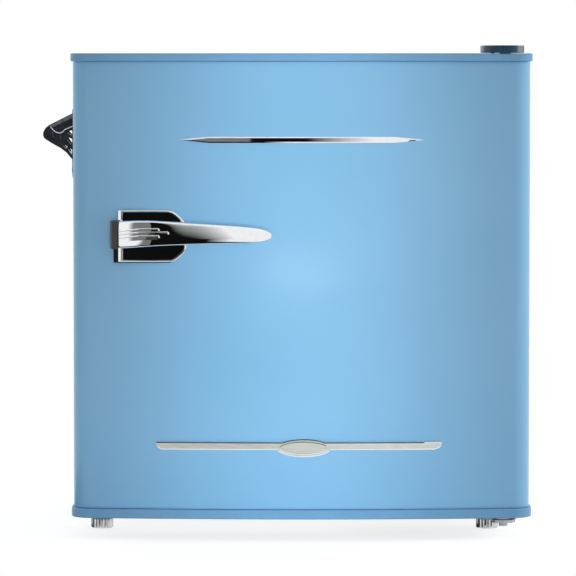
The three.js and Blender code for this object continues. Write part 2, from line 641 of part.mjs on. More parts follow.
/** The insulation between the wrap and the liner, with channels for the condenser's tube. */
function cabinetFoam() {
  const edge = SHEET + GAP;
  const lip = PLASTIC + LINER_LIP + GAP;
  let foam = upright(cabinetOutline(edge, BASE_TOP + GAP), [edge, CABINET_DEPTH - edge])
    .subtract(stepBlock(edge))
    .subtract(linerBox(PLASTIC + GAP, -1).subtract(stepBlock(LINER_STEP - GAP)))
    .subtract(span([-OPENING_HALF - lip, OPENING_HALF + lip], [0, LIP_SPAN[1] + GAP],
      [FLOOR - lip, CEILING + lip]));
  for (const [x, y] of FRONT_FEET) {
    foam = foam.subtract(bar(FOOT_STUD_RADIUS + 4 + GAP, FOOT_STUD_REACH + 2 * GAP,
      [x, y, BASE_TOP], [0, 0, 1], ROUND));
  }
  const room = CONDENSER_RADIUS + GAP;
  const first = CONDENSER_LEGS[0];
  const last = CONDENSER_LEGS.at(-1);
  for (const side of [-1, 1]) {
    const walls = [side * HALF, side * (CONDENSER_X - room)].sort((a, b) => a - b);
    for (const z of CONDENSER_LEGS) {
      foam = foam.subtract(span(walls, [CONDENSER_FRONT, CONDENSER_BACK], [z - room, z + room]));
    }
    foam = foam.subtract(span(walls,
      [CONDENSER_FRONT - room, CONDENSER_FRONT + CONDENSER_BEND], [first, CABINET_TOP]));
    foam = foam.subtract(span(walls,
      [CONDENSER_BACK - CONDENSER_BEND, CONDENSER_BACK + room], [COMPARTMENT_TOP, last + room]));
    const corner = [side * HALF, side * (CONDENSER_X - CONDENSER_BEND)].sort((a, b) => a - b);
    foam = foam.subtract(span(corner, [CONDENSER_FRONT - room, CONDENSER_FRONT + room],
      [CONDENSER_CROSS - CONDENSER_BEND, CABINET_TOP]));
  }
  return foam.subtract(span([-HALF, HALF], [CONDENSER_FRONT - room, CONDENSER_FRONT + room],
    [CONDENSER_CROSS - room, CABINET_TOP]));
}

// ---- Inside of the cabinet ---------------------------------------------------------------------

/** The vacuum-formed liner: drafted walls, the step over the compressor, runners and a front lip. */
function innerLiner() {
  const lip = PLASTIC + LINER_LIP;
  const flange = upright(roundedRect([-OPENING_HALF - lip, OPENING_HALF + lip],
    [FLOOR - lip, CEILING + lip], LINER_RADIUS), LIP_SPAN);
  const skin = linerBox(PLASTIC, 0).subtract(stepBlock(LINER_STEP));
  const hollow = linerBox(0, -1).subtract(stepBlock(LINER_STEP + PLASTIC));
  let liner = skin.add(flange).subtract(hollow);
  for (const height of SHELF_HEIGHTS) {
    for (const z of [height - RUNNER_THICKNESS, height + RUNNER_SLOT]) {
      const rib = roundedRect([RUNNER_START, LINER_BACK + 1], [z, z + RUNNER_THICKNESS], 2);
      for (const side of [-1, 1]) {
        const reach = [side * (OPENING_HALF - RUNNER_DEPTH), side * (OPENING_HALF + 1)];
        const runner = sideways(rib, reach.sort((a, b) => a - b));
        liner = liner.add(runner.intersect(linerBox(PLASTIC / 2, -1)));
      }
    }
  }
  const [insetX, insetY] = CHILLER_STUD_INSET;
  for (const x of [CHILLER_LEFT + insetX, CHILLER_RIGHT - insetX]) {
    for (const y of [CHILLER_FRONT + insetY, CHILLER_BACK - insetY]) {
      const hanger = bar(5, CHILLER_HANGER + PLASTIC / 2, [x, y, CHILLER_TOP + GAP], [0, 0, 1], 10);
      liner = liner.add(hanger.intersect(linerBox(PLASTIC / 2, -1)));
    }
  }
  return liner;
}

/** The wire shelf: a frame with round corners, wires from front to back and two bearers. */
function wireShelf() {
  const z = SHELF_HEIGHTS[0] + GAP + SHELF_FRAME_WIRE;
  const half = OPENING_HALF - LINER_DRAFT - 2 - SHELF_FRAME_WIRE;
  const back = LINER_BACK - 3 - SHELF_FRAME_WIRE;
  const outer = roundedRect([-half - 1, half + 1], [SHELF_FRONT, back], 14);
  outer.holes.push(roundedRect([1 - half, half - 1], [SHELF_FRONT + 2, back - 2], 13));
  const round = SHELF_FRAME_WIRE - 1;
  const frame = extruded(outer, 2, { bevelEnabled: true, bevelSize: round, bevelThickness: round,
    bevelSegments: 1 });
  let shelf = solid(frame.translate(0, 0, z - 1));
  for (const y of [SHELF_FRONT + 70, back - 70]) {
    shelf = shelf.add(bar(SHELF_CROSS_WIRE + 0.5, 2 * half, [-half, y, z - 0.4], [1, 0, 0], 4));
  }
  const count = Math.floor((half - 8) / SHELF_PITCH);
  for (let i = -count; i <= count; i += 1) {
    shelf = shelf.add(bar(SHELF_CROSS_WIRE, back - SHELF_FRONT - 1,
      [i * SHELF_PITCH, SHELF_FRONT + 0.5, z + 0.9], [0, 1, 0], 6));
  }
  return shelf;
}

/** The chiller: a folded aluminium box with raised channels and a rail along each lower edge. */
function chillerBox() {
  const section = (inset) => roundedRect([CHILLER_LEFT + inset, CHILLER_RIGHT - inset],
    [CHILLER_BOTTOM + inset, CHILLER_TOP - inset], CHILLER_RADIUS - inset);
  let box = upright(section(0), [CHILLER_FRONT, CHILLER_BACK]);
  const along = [CHILLER_FRONT + 14, CHILLER_BACK - 14];
  const channel = (across, thick) => roundedRect(across, thick, CHANNEL_RISE * 0.9);
  for (const share of [0.3, 0.5, 0.7]) {
    const z = CHILLER_BOTTOM + share * CHILLER_HEIGHT;
    box = box.add(upright(channel([CHILLER_LEFT - CHANNEL_RISE, CHILLER_RIGHT + CHANNEL_RISE],
      [z - 3, z + 3]), along));
  }
  for (const share of [0.2, 0.4, 0.6, 0.8]) {
    const x = CHILLER_LEFT + share * CHILLER_WIDTH;
    box = box.add(upright(channel([x - 3.5, x + 3.5],
      [CHILLER_BOTTOM - CHANNEL_RISE, CHILLER_BOTTOM + CHILLER_RADIUS]), along));
  }
  box = box.add(span([CHILLER_LEFT - CHILLER_RAIL, CHILLER_RIGHT + CHILLER_RAIL],
    [CHILLER_FRONT, CHILLER_BACK], RAIL_SPAN).subtract(
    upright(section(CHILLER_SHEET / 2), [CHILLER_FRONT - 1, CHILLER_BACK + 1])));
  return box.subtract(upright(section(CHILLER_SHEET),
    [CHILLER_FRONT - 1, CHILLER_BACK - CHILLER_SHEET]));
}

/** The frame round the chiller's mouth, with an ear at each upper corner for the flap's pins. */
function chillerBezel() {
  const section = (inset) => roundedRect([CHILLER_LEFT + inset, CHILLER_RIGHT - inset],
    [CHILLER_BOTTOM + inset, CHILLER_TOP - inset], Math.max(CHILLER_RADIUS - inset, 2));
  const spigot = CHILLER_SHEET + GAP;
  const [axisY, axisZ] = FLAP_AXIS;
  let bezel = upright(section(0), [BEZEL_FRONT, CHILLER_FRONT - GAP])
    .add(upright(section(spigot), [CHILLER_FRONT - 1, CHILLER_FRONT + 8]))
    .subtract(upright(section(BEZEL_BORDER), [BEZEL_FRONT - 1, CHILLER_FRONT + 9]));
  for (const x of [CHILLER_LEFT, CHILLER_RIGHT - EAR_THICKNESS]) {
    const ear = roundedRect([axisY - BARREL_RADIUS, BEZEL_FRONT + 1],
      [axisZ - BARREL_RADIUS, axisZ + BARREL_RADIUS], 2.5);
    bezel = bezel.add(sideways(ear, [x, x + EAR_THICKNESS]));
  }
  return bezel.subtract(bar(FLAP_PIN_RADIUS + 0.2, CHILLER_WIDTH + 2,
    [CHILLER_LEFT - 1, axisY, axisZ], [1, 0, 0], 16));
}

/** The chiller's flap: a rimmed panel hung from two pins behind its face, so that it falls shut. */
function chillerFlap() {
  const [axisY, axisZ] = FLAP_AXIS;
  const left = CHILLER_LEFT + EAR_THICKNESS + GAP;
  const right = CHILLER_RIGHT - EAR_THICKNESS - GAP;
  const back = BEZEL_FRONT - GAP;
  const face = back - FLAP_DEPTH;
  const foot = TRAY_TOP + FLAP_LIFT;
  const outline = (inset) => roundedRect([left + inset, right - inset],
    [foot + inset, axisZ + 1 - inset], 8 - inset);
  const panel = upright(outline(0), [face, back])
    .subtract(upright(outline(FLAP_WALL), [face + FLAP_WALL, back + 1]));
  const lip = span([left + 50, right - 50], [face - 8, face + 1], [foot + 5, foot + 7.5]);
  const barrel = bar(BARREL_RADIUS, right - left, [left, axisY, axisZ], [1, 0, 0], 12);
  const reach = EAR_THICKNESS + GAP;
  const pins = bar(FLAP_PIN_RADIUS, right - left + 2 * reach, [left - reach, axisY, axisZ],
    [1, 0, 0], 12);
  return join(panel, lip, barrel, pins);
}

/** The drip tray, whose lips slide on the chiller's rails. */
function dripTray() {
  const side = CHILLER_RAIL + RUNNING + TRAY_WALL;
  const outer = [CHILLER_LEFT - side, CHILLER_RIGHT + side];
  const floor = TRAY_TOP - TRAY_DEPTH;
  const front = CHILLER_FRONT - TRAY_OVERHANG;
  const back = CHILLER_BACK - 2;
  let tray = flat(roundedRect(outer, [front, back], 5), [floor, TRAY_TOP]);
  tray = tray.subtract(flat(roundedRect([outer[0] + TRAY_WALL, outer[1] - TRAY_WALL],
    [front + TRAY_WALL, back - TRAY_WALL], 4), [floor + TRAY_WALL, TRAY_TOP + 1]));
  const lip = CHILLER_RAIL + RUNNING - 1;
  for (const [x0, x1] of [[outer[0], outer[0] + TRAY_WALL + lip],
    [outer[1] - TRAY_WALL - lip, outer[1]]]) {
    tray = tray.add(span([x0, x1], [front + 5, back - 5], [RAIL_SPAN[1] + GAP, TRAY_TOP]));
  }
  tray = tray.subtract(span([outer[0] - 1, outer[1] + 1], [back - 5, back + 1],
    [CHILLER_BOTTOM - CHANNEL_RISE - RUNNING, TRAY_TOP + 1]));
  const grip = roundedRect([CHILLER_LEFT + 60, CHILLER_RIGHT - 60], [front - 6, front + 3], 3);
  return tray.add(flat(grip, [TRAY_TOP - TRAY_WALL, TRAY_TOP]));
}

/** The thermostat's case on the liner's right wall, with a bore for the knob's shaft. */
function thermostatCase() {
  const [wide, deep, tall] = THERMOSTAT_SIZE;
  const top = CEILING - THERMOSTAT_DROP;
  const face = roundedRect([THERMOSTAT_Y - deep / 2, THERMOSTAT_Y + deep / 2],
    [top - tall, top], 7);
  return sideways(face, [OPENING_HALF - wide, OPENING_HALF + 1]).intersect(linerBox(-GAP, 0))
    .subtract(bar(SHAFT_RADIUS + RUNNING / 2, SHAFT_REACH + 1,
      [OPENING_HALF - wide + SHAFT_REACH, THERMOSTAT_Y, top - tall / 2], [-1, 0, 0], 16));
}

/** The thermostat's knob: a fluted disc with a raised pointer and a shaft. */
function thermostatKnob() {
  const [wide, , tall] = THERMOSTAT_SIZE;
  const face = OPENING_HALF - wide;
  const z = CEILING - THERMOSTAT_DROP - tall / 2;
  const back = face - GAP;
  const rim = fluted(KNOB_RADIUS, 0.9, 14, [THERMOSTAT_Y, z]);
  const pointer = roundedRect([THERMOSTAT_Y - 1.6, THERMOSTAT_Y + 1.6], [z + 3, z + KNOB_RADIUS - 2],
    1.4);
  return join(sideways(rim, [back - 5, back]),
    bar(KNOB_RADIUS - 3, KNOB_HEIGHT - 1, [back, THERMOSTAT_Y, z], [-1, 0, 0]),
    sideways(pointer, [back - KNOB_HEIGHT, back - 4]),
    bar(SHAFT_RADIUS, SHAFT_REACH, [back + SHAFT_REACH - 1, THERMOSTAT_Y, z], [-1, 0, 0], 16));
}

/** The thermostat's sensing tube, from its case to the chiller's right wall. */
function sensingTube() {
  const [wide, deep, tall] = THERMOSTAT_SIZE;
  const x = OPENING_HALF - wide / 2;
  const y = THERMOSTAT_Y + deep / 2 + GAP;
  const z = CEILING - THERMOSTAT_DROP - tall / 2;
  const end = CHILLER_RIGHT + CHANNEL_RISE + GAP;
  return tube([[x, y, z], [x, y + 30, z], [end, y + 30, z]], 10, 1.3, 6);
}

// ---- Cooling circuit ---------------------------------------------------------------------------

/** The condenser: one tube that winds along both sides of the wrap and crosses under its top. */
function condenserCoil() {
  const half = (x) => {
    const line = [[x, CONDENSER_BACK, CONDENSER_TAIL]];
    CONDENSER_LEGS.forEach((z, i) => {
      const ends = i % 2 === 0 ? [CONDENSER_BACK, CONDENSER_FRONT] : [CONDENSER_FRONT, CONDENSER_BACK];
      for (const y of ends) line.push([x, y, z]);
    });
    line.push([x, CONDENSER_FRONT, CONDENSER_CROSS]);
    return line;
  };
  const line = half(CONDENSER_X).concat(half(-CONDENSER_X).reverse());
  return tube(line, CONDENSER_BEND, CONDENSER_RADIUS, 6, 2);
}

/** Where the compressor stands on its four grommets. */
function grommetPlaces() {
  const [dx, dy] = LEG_SPREAD;
  return [[-dx, -dy], [dx, -dy], [dx, dy], [-dx, dy]]
    .map(([x, y]) => [COMPRESSOR_X + x, COMPRESSOR_Y + y]);
}

/** The compressor's welded shell: two domes that meet at a seam. */
function compressorShell(grow) {
  const radius = COMPRESSOR_RADIUS + grow;
  const seam = COMPRESSOR_HEIGHT * 0.52;
  const profile = [[0, -grow]];
  for (const angle of [20, 40, 60, 80]) {
    const turn = THREE.MathUtils.degToRad(angle);
    profile.push([(radius - 2) * Math.sin(turn), seam - (seam + grow) * Math.cos(turn) ** 0.8]);
  }
  for (const [inset, rise] of [[1, -3], [0, -2], [0, 2], [1, 3]]) {
    profile.push([radius - inset, seam + rise]);
  }
  for (const angle of [80, 60, 40, 20]) {
    const turn = THREE.MathUtils.degToRad(angle);
    const rise = (COMPRESSOR_HEIGHT - seam + grow) * Math.cos(turn) ** 0.7;
    profile.push([(radius - 2) * Math.sin(turn), seam + rise]);
  }
  profile.push([0, COMPRESSOR_HEIGHT + grow]);
  const points = profile.map(([r, h]) => new THREE.Vector2(r, h));
  const shell = new THREE.LatheGeometry(points, ROUND).rotateX(Math.PI / 2);
  return solid(shell.scale(COMPRESSOR_STRETCH, 1, 1)
    .translate(COMPRESSOR_X, COMPRESSOR_Y, COMPRESSOR_BASE - 2));
}

function compressor() {
  const [dx, dy] = LEG_SPREAD;
  const reach = GROMMET_RADIUS;
  const legs = flat(roundedRect([COMPRESSOR_X - dx - reach, COMPRESSOR_X + dx + reach],
    [COMPRESSOR_Y - dy - reach, COMPRESSOR_Y + dy + reach], reach),
  [COMPRESSOR_BASE, COMPRESSOR_BASE + LEG_SHEET]);
  let body = legs.subtract(flat(roundedRect([COMPRESSOR_X - dx + 12, COMPRESSOR_X + dx - 12],
    [COMPRESSOR_Y - dy - reach - 8, COMPRESSOR_Y - dy - 2], 6),
  [COMPRESSOR_BASE - 1, COMPRESSOR_BASE + LEG_SHEET + 1]));
  body = body.add(compressorShell(0));
  for (const [x, y] of grommetPlaces()) {
    body = body.subtract(bar(STUD_RADIUS + GAP, LEG_SHEET + 4, [x, y, COMPRESSOR_BASE - 1],
      [0, 0, 1], 10));
  }
  return body;
}

/** One rubber grommet under the compressor, waisted, round a stud of the plate. */
function grommet([x, y]) {
  const bore = STUD_RADIUS + GAP;
  return turned([
    [bore, 0], [GROMMET_RADIUS, 0], [GROMMET_RADIUS, 4], [GROMMET_RADIUS - 2, 6],
    [GROMMET_RADIUS - 2, 8], [GROMMET_RADIUS - 1, GROMMET_HEIGHT], [bore, GROMMET_HEIGHT], [bore, 0],
  ], [x, y, BASE_HEIGHT + 2 * SHEET + GAP], [0, 0, 1], 10);
}

/** The starter's cover, hooked on the compressor's right side, with a seat for the cord's gland. */
function starterCover() {
  const x = COMPRESSOR_X + COMPRESSOR_RADIUS * COMPRESSOR_STRETCH;
  const plan = roundedRect([x - 16, x + 26], [COMPRESSOR_Y - 24, COMPRESSOR_Y + 24], 5);
  const z = COMPRESSOR_BASE + 34;
  return flat(plan, [z, z + 46]).subtract(compressorShell(GAP))
    .subtract(bar(GLAND_RADIUS + GAP, 8, [x + 14, COMPRESSOR_Y + 20, z + 14], [0, 1, 0], 16));
}

/** The gland for the supply cord, a stepped sleeve in the starter's cover. */
function cordGland() {
  const x = COMPRESSOR_X + COMPRESSOR_RADIUS * COMPRESSOR_STRETCH + 14;
  return turned([
    [2.6, GAP], [GLAND_RADIUS, GAP], [GLAND_RADIUS, 4 + GAP], [GLAND_RADIUS + 2, 4 + 2 * GAP],
    [GLAND_RADIUS + 2, 7], [GLAND_RADIUS - 1, 13], [2.6, 13], [2.6, GAP],
  ], [x, COMPRESSOR_Y + 20, COMPRESSOR_BASE + 48], [0, 1, 0], 16);
}

/** The line from the compressor to the condenser's right end. */
function dischargeLine() {
  const y = CONDENSER_BACK;
  const z = CONDENSER_TAIL + CONDENSER_JOINT;
  const end = CONDENSER_X - CONDENSER_RADIUS - GAP;
  const [drop, near, far] = DISCHARGE_LOOP;
  return tube([[COMPRESSOR_X, y, z], [end - near, y, z], [end - near, y, z - drop],
    [end - far, y, z - drop], [end - far, y, z], [end, y, z]], 10, CONDENSER_RADIUS, 8)
    .subtract(compressorShell(GAP)).subtract(starterCover());
}

/** The line back to the compressor, down from the compartment's ceiling. */
function suctionLine() {
  const x = COMPRESSOR_X - SUCTION_REACH;
  const z = COMPRESSOR_BASE + SUCTION_HEIGHT;
  return tube([[COMPRESSOR_X, COMPRESSOR_Y, z], [x, COMPRESSOR_Y, z],
    [x, COMPRESSOR_Y, COMPARTMENT_TOP - GAP]], 14, 3.2, 8).subtract(compressorShell(GAP));
}

/** The filter drier: a spun copper capsule, joined to the condenser's left end. */
function filterDrier() {
  const x = DRIER_INSET - CONDENSER_X;
  const y = CONDENSER_BACK;
  const z = CONDENSER_TAIL + CONDENSER_JOINT;
  const long = DRIER_LENGTH;
  const capsule = turned([
    [0, 0], [1.5, 0], [1.5, 10], [7, 18], [9, 24], [9, long - 18], [7, long - 12],
    [CONDENSER_RADIUS, long - 4], [CONDENSER_RADIUS, long], [0, long],
  ], [x, y, z - DRIER_DROP - long]);
  return capsule.add(tube([[x, y, z - DRIER_DROP - 8], [x, y, z],
    [CONDENSER_RADIUS + GAP - CONDENSER_X, y, z]], 10, CONDENSER_RADIUS, 8));
}

/** The capillary, from the drier up beside the suction line. */
function capillary() {
  const x = DRIER_INSET - CONDENSER_X;
  const y = CONDENSER_BACK;
  const z = CONDENSER_TAIL + CONDENSER_JOINT - DRIER_DROP - DRIER_LENGTH - GAP;
  const rise = COMPRESSOR_X - SUCTION_REACH - 8;
  return tube([[x, y, z], [x, y, z - 8], [rise, y, z - 8], [rise, y, COMPARTMENT_TOP - GAP]],
    6, 1.1, 6);
}

// ---- Hinges ------------------------------------------------------------------------------------

/** A hinge plate's outline: a foot on the cabinet and a nose round the pin. */
function hingeOutline(back, grow = 0) {
  const half = HINGE_WIDTH / 2 + grow;
  const nose = HINGE_NOSE + grow;
  const shape = new THREE.Shape();
  shape.moveTo(PIN_X + half, back + grow);
  shape.lineTo(PIN_X - half, back + grow);
  shape.lineTo(PIN_X - half, 2);
  shape.lineTo(PIN_X - nose, PIN_Y + nose);
  shape.lineTo(PIN_X - nose, PIN_Y);
  shape.absarc(PIN_X, PIN_Y, nose, Math.PI, 2 * Math.PI);
  shape.lineTo(PIN_X + nose, PIN_Y + nose);
  shape.lineTo(PIN_X + half, 2);
  return shape;
}

function topHingeBracket() {
  const bottom = CABINET_TOP + GAP;
  const relief = span([0, HALF], [PIN_Y - 2 * HINGE_NOSE, -1], [bottom - 1, bottom + HINGE_RELIEF]);
  let bracket = flat(hingeOutline(HINGE_REACH), [bottom, bottom + HINGE_PLATE]).subtract(relief);
  bracket = bracket.add(bar(PIN_RADIUS, bottom + HINGE_PLATE - DOOR_TOP + PIN_LENGTH,
    [PIN_X, PIN_Y, DOOR_TOP - PIN_LENGTH]));
  for (const [x, y] of TOP_HINGE_SCREWS) {
    bracket = bracket.subtract(screwHole([x, y, bottom + 1], [0, 0, 1]))
      .subtract(screwHole([x, y, bottom + HINGE_PLATE], [0, 0, 1]));
  }
  return bracket;
}

/** The hollow cover over the upper hinge. */
function topHingeCover() {
  const bottom = CABINET_TOP + GAP;
  const wall = HINGE_COVER_WALL + GAP;
  const roof = HINGE_COVER_TOP - HINGE_COVER_WALL;
  const bevel = { bevelEnabled: true, bevelSize: 1.2, bevelThickness: 1.2, bevelOffset: -1.2,
    bevelSegments: 2 };
  const lid = extruded(hingeOutline(HINGE_REACH, wall), HINGE_COVER_TOP - bottom - 1.2, bevel);
  const everywhere = [PIN_Y - 3 * HINGE_NOSE, CABINET_DEPTH];
  return solid(lid.translate(0, 0, bottom))
    .subtract(flat(hingeOutline(HINGE_REACH, GAP), [bottom - 2, roof]))
    .subtract(span([0, DOOR_HALF], everywhere, [bottom - 2, bottom]))
    .subtract(span([0, DOOR_HALF], [everywhere[0], -1], [bottom - 2, bottom + HINGE_RELIEF]));
}

function bottomHingeBracket() {
  const top = BASE_HEIGHT - GAP;
  let bracket = flat(hingeOutline(LOWER_HINGE_REACH), [top - HINGE_PLATE, top]);
  bracket = bracket.add(bar(PIN_RADIUS, DOOR_BOTTOM + PIN_LENGTH - top + HINGE_PLATE,
    [PIN_X, PIN_Y, top - HINGE_PLATE]));
  bracket = bracket.add(bar(5, 4, [PIN_X, PIN_Y, top - HINGE_PLATE - 3.6], [0, 0, 1], 6));
  for (const [x, y] of LOWER_HINGE_SCREWS) {
    bracket = bracket.subtract(screwHole([x, y, top - 1], [0, 0, 1]))
      .subtract(screwHole([x, y, top - HINGE_PLATE], [0, 0, 1]));
  }
  return bracket;
}

/** A bush in one of the door's caps: a sleeve round the pin, with a flange against the cap. */
function hingeBush(face, inward) {
  const bore = PIN_RADIUS + RUNNING / 2;
  const sleeve = bore + BUSH_WALL;
  const flange = inward > 0 ? [[sleeve + BUSH_FLANGE, -1.2], [sleeve + BUSH_FLANGE, -GAP]]
    : [[sleeve, -GAP]];
  const start = inward > 0 ? -1.2 : -GAP;
  const length = PIN_LENGTH + 1;
  return turned([[bore, start], ...flange, [sleeve, inward > 0 ? -GAP : 0], [sleeve, length],
    [bore, length], [bore, start]], [PIN_X, PIN_Y, face], [0, 0, inward]);
}

// ---- Feet --------------------------------------------------------------------------------------

/** A fluted outline round a point. */
function fluted(radius, depth, count, [x, y]) {
  const points = [];
  for (let i = 0; i < 2 * count; i += 1) {
    const angle = (Math.PI * i) / count;
    const reach = radius - (i % 2) * depth;
    points.push([x + reach * Math.cos(angle), y + reach * Math.sin(angle)]);
  }
  return polygon(points);
}

/** A levelling foot: a fluted pad moulded on a stud. */
function frontFoot([x, y]) {
  const pad = flat(fluted(FOOT_RADIUS, 0.8, FOOT_FLUTES, [x, y]), [1.5, FOOT_PAD_HEIGHT - 1.5]);
  const core = turned([
    [0, 0], [FOOT_RADIUS - 2, 0], [FOOT_RADIUS - 1, 1.6], [FOOT_RADIUS - 1, FOOT_PAD_HEIGHT - 1.6],
    [FOOT_RADIUS - 3, FOOT_PAD_HEIGHT], [FOOT_STUD_RADIUS, FOOT_PAD_HEIGHT],
    [FOOT_STUD_RADIUS, BASE_TOP + FOOT_STUD_REACH - 3], [0, BASE_TOP + FOOT_STUD_REACH - 3],
  ], [x, y, 0]);
  return pad.add(core);
}

/** A plain glide under the compressor's plate, on one side. */
function rearFoot(side) {
  const [insetX, insetY] = REAR_FOOT_INSET;
  const top = BASE_HEIGHT - GAP;
  return turned([
    [0, 0], [REAR_FOOT_RADIUS - 1.5, 0], [REAR_FOOT_RADIUS, 1.5], [REAR_FOOT_RADIUS - 1, top],
    [0, top],
  ], [side * (HALF - insetX), CABINET_DEPTH - insetY, 0]);
}

// ---- Door --------------------------------------------------------------------------------------

/** The door seen from above: straight sides, rounded edges and a bowed front. */
function doorPlan(grow, rear = DOOR_REAR) {
  const half = SKIN_HALF + grow;
  const corner = EDGE_RADIUS + grow;
  const bow = BOW_RADIUS + grow;
  const cornerY = BOW_CENTRE - Math.sqrt((bow - corner) ** 2 - BOW_CHORD ** 2);
  const sweep = Math.asin(BOW_CHORD / (bow - corner));
  const down = 1.5 * Math.PI;
  const shape = new THREE.Shape();
  shape.moveTo(half, rear);
  shape.lineTo(-half, rear);
  shape.absarc(-BOW_CHORD, cornerY, corner, Math.PI, down - sweep);
  for (const quarter of [-2, -1, 0, 1]) {
    const start = down + (quarter * sweep) / 2;
    shape.absarc(0, BOW_CENTRE, bow, start, start + sweep / 2);
  }
  shape.absarc(BOW_CHORD, cornerY, corner, down + sweep, 2 * Math.PI);
  return shape;
}

/** The depth of the door's front at a distance from the middle. */
function doorFace(x) {
  return BOW_CENTRE - Math.sqrt(BOW_RADIUS ** 2 - x ** 2);
}

/** The part of an outline, seen from the front, that lies between two distances off the door. */
function onDoor(shape, [inner, outer], curveSegments = FINE) {
  const front = DOOR_CROWN - 2 * EDGE_RADIUS;
  return upright(shape, [front, DOOR_REAR - EDGE_RADIUS], curveSegments)
    .intersect(flat(doorPlan(outer), FULL_HEIGHT)).subtract(flat(doorPlan(inner), FULL_HEIGHT));
}

function doorSkin() {
  const inner = flat(doorPlan(-SHEET, DOOR_REAR - SHEET), FULL_HEIGHT);
  const opening = span([SKIN_RETURN - SKIN_HALF, SKIN_HALF - SKIN_RETURN],
    [DOOR_REAR - 2 * SHEET, DOOR_REAR + 1], FULL_HEIGHT);
  return flat(doorPlan(0), SKIN_SPAN).subtract(inner).subtract(opening);
}

/** A cap over one end of the door, with a plug that reaches into the skin. */
function doorCap([bottom, top], [plugBottom, plugTop], face, inward) {
  const bevel = { bevelEnabled: true, bevelSize: CAP_BEVEL, bevelThickness: CAP_BEVEL,
    bevelOffset: -CAP_BEVEL, bevelSegments: 1 };
  const slab = extruded(doorPlan(SKIN_INSET), top - bottom - 2 * CAP_BEVEL, bevel);
  const inset = -SHEET - GAP;
  const plug = flat(doorPlan(inset, DOOR_REAR + inset), [plugBottom, plugTop])
    .subtract(flat(doorPlan(inset - 3, DOOR_REAR + inset - 3),
      inward > 0 ? [top, plugTop + 1] : [plugBottom - 1, bottom]));
  const boss = bar(PIN_RADIUS + RUNNING / 2 + BUSH_WALL + 3, PIN_LENGTH + 4,
    [PIN_X, PIN_Y, face + inward], [0, 0, inward])
    .intersect(flat(doorPlan(inset, DOOR_REAR + inset), FULL_HEIGHT));
  const seat = bar(PIN_RADIUS + RUNNING / 2 + BUSH_WALL + GAP, PIN_LENGTH + 3,
    [PIN_X, PIN_Y, face - inward], [0, 0, inward]);
  return solid(slab.translate(0, 0, bottom + CAP_BEVEL)).add(plug).add(boss).subtract(seat);
}

/** The pocket's outline in the door's liner, grown by a distance. */
function pocketOutline(grow) {
  const rim = DIKE_WIDTH - grow;
  const [bottom, top] = PLUG_SPAN;
  return roundedRect([rim - PLUG_HALF, PLUG_HALF - rim], [bottom + rim, top - rim],
    LINER_RADIUS - 4 + grow);
}

/** The raised dike round the pocket, set in from its faces, over a stretch of depth. */
function dike(inset, depth) {
  const [bottom, top] = PLUG_SPAN;
  const outline = roundedRect([inset - PLUG_HALF, PLUG_HALF - inset],
    [bottom + inset, top - inset], LINER_RADIUS - inset);
  const past = [depth[0] - 1, depth[1] + 1];
  return upright(outline, depth).subtract(upright(pocketOutline(inset), past));
}

/** All that lies on the door's side of its liner, set in from the liner's face. */
function plugForm(inset, flange, front) {
  const [bottom, top] = PLUG_SPAN;
  const border = LINER_FLANGE_BORDER + (inset > 0 ? 1 : 0);
  const slab = span([-PLUG_HALF - border, PLUG_HALF + border], [front, flange],
    [bottom - border, top + border]);
  const pocket = upright(pocketOutline(inset), [-POCKET_DEPTH - inset, DIKE_DEPTH]);
  return slab.subtract(pocket).add(dike(inset, [front, DIKE_DEPTH - inset]));
}

/** The door's inner skin: a flange under the gasket, a raised dike, a pocket and two bins. */
function doorLiner() {
  const front = -POCKET_DEPTH - 2 * PLASTIC;
  let liner = plugForm(0, DOOR_FLANGE, front)
    .subtract(plugForm(PLASTIC, DOOR_FLANGE - PLASTIC, front - 1));
  const hollow = dike(PLASTIC / 2, [front, DIKE_DEPTH - PLASTIC / 2]);
  BIN_FLOORS.forEach((floor, i) => {
    const under = floor - BIN_FLOOR_THICKNESS;
    const half = BIN_HALF_WIDTH;
    const ledge = flat(roundedRect([-half, half], [-POCKET_DEPTH - PLASTIC / 2, BIN_REACH], 5),
      [under, floor]);
    const wall = span([-half + 3, half - 3], [BIN_REACH - BIN_WALL, BIN_REACH],
      [under + 1, floor + BIN_FRONTS[i]]);
    liner = liner.add(ledge.subtract(hollow)).add(wall);
    const tall = floor + BIN_BARS[i] + BAR_HEIGHT + 4;
    for (const side of [-1, 1]) {
      const across = [side * half, side * (half - BIN_WALL)].sort((a, b) => a - b);
      const cheek = roundedRect([DIKE_DEPTH - PLASTIC, BIN_REACH], [under, tall], 4);
      liner = liner.add(sideways(cheek, across));
    }
    const slot = barSpan(i, GAP);
    liner = liner.subtract(span([-half + BAR_SEAT - GAP, half - BAR_SEAT + GAP], slot.y, slot.z));
  });
  return liner;
}

/** Where a bin's bar lies, with room round it. */
function barSpan(i, room) {
  const middle = BIN_REACH - BIN_WALL / 2;
  const bottom = BIN_FLOORS[i] + BIN_BARS[i];
  return {
    y: [middle - BAR_THICKNESS / 2 - room, middle + BAR_THICKNESS / 2 + room],
    z: [bottom - room, bottom + BAR_HEIGHT + room],
  };
}

/** The clear bar across the front of a bin. */
function binBar(i) {
  const { y, z } = barSpan(i, 0);
  const half = BIN_HALF_WIDTH - BAR_SEAT;
  return sideways(roundedRect(y, z, BAR_THICKNESS / 2 - 0.1), [-half, half]);
}

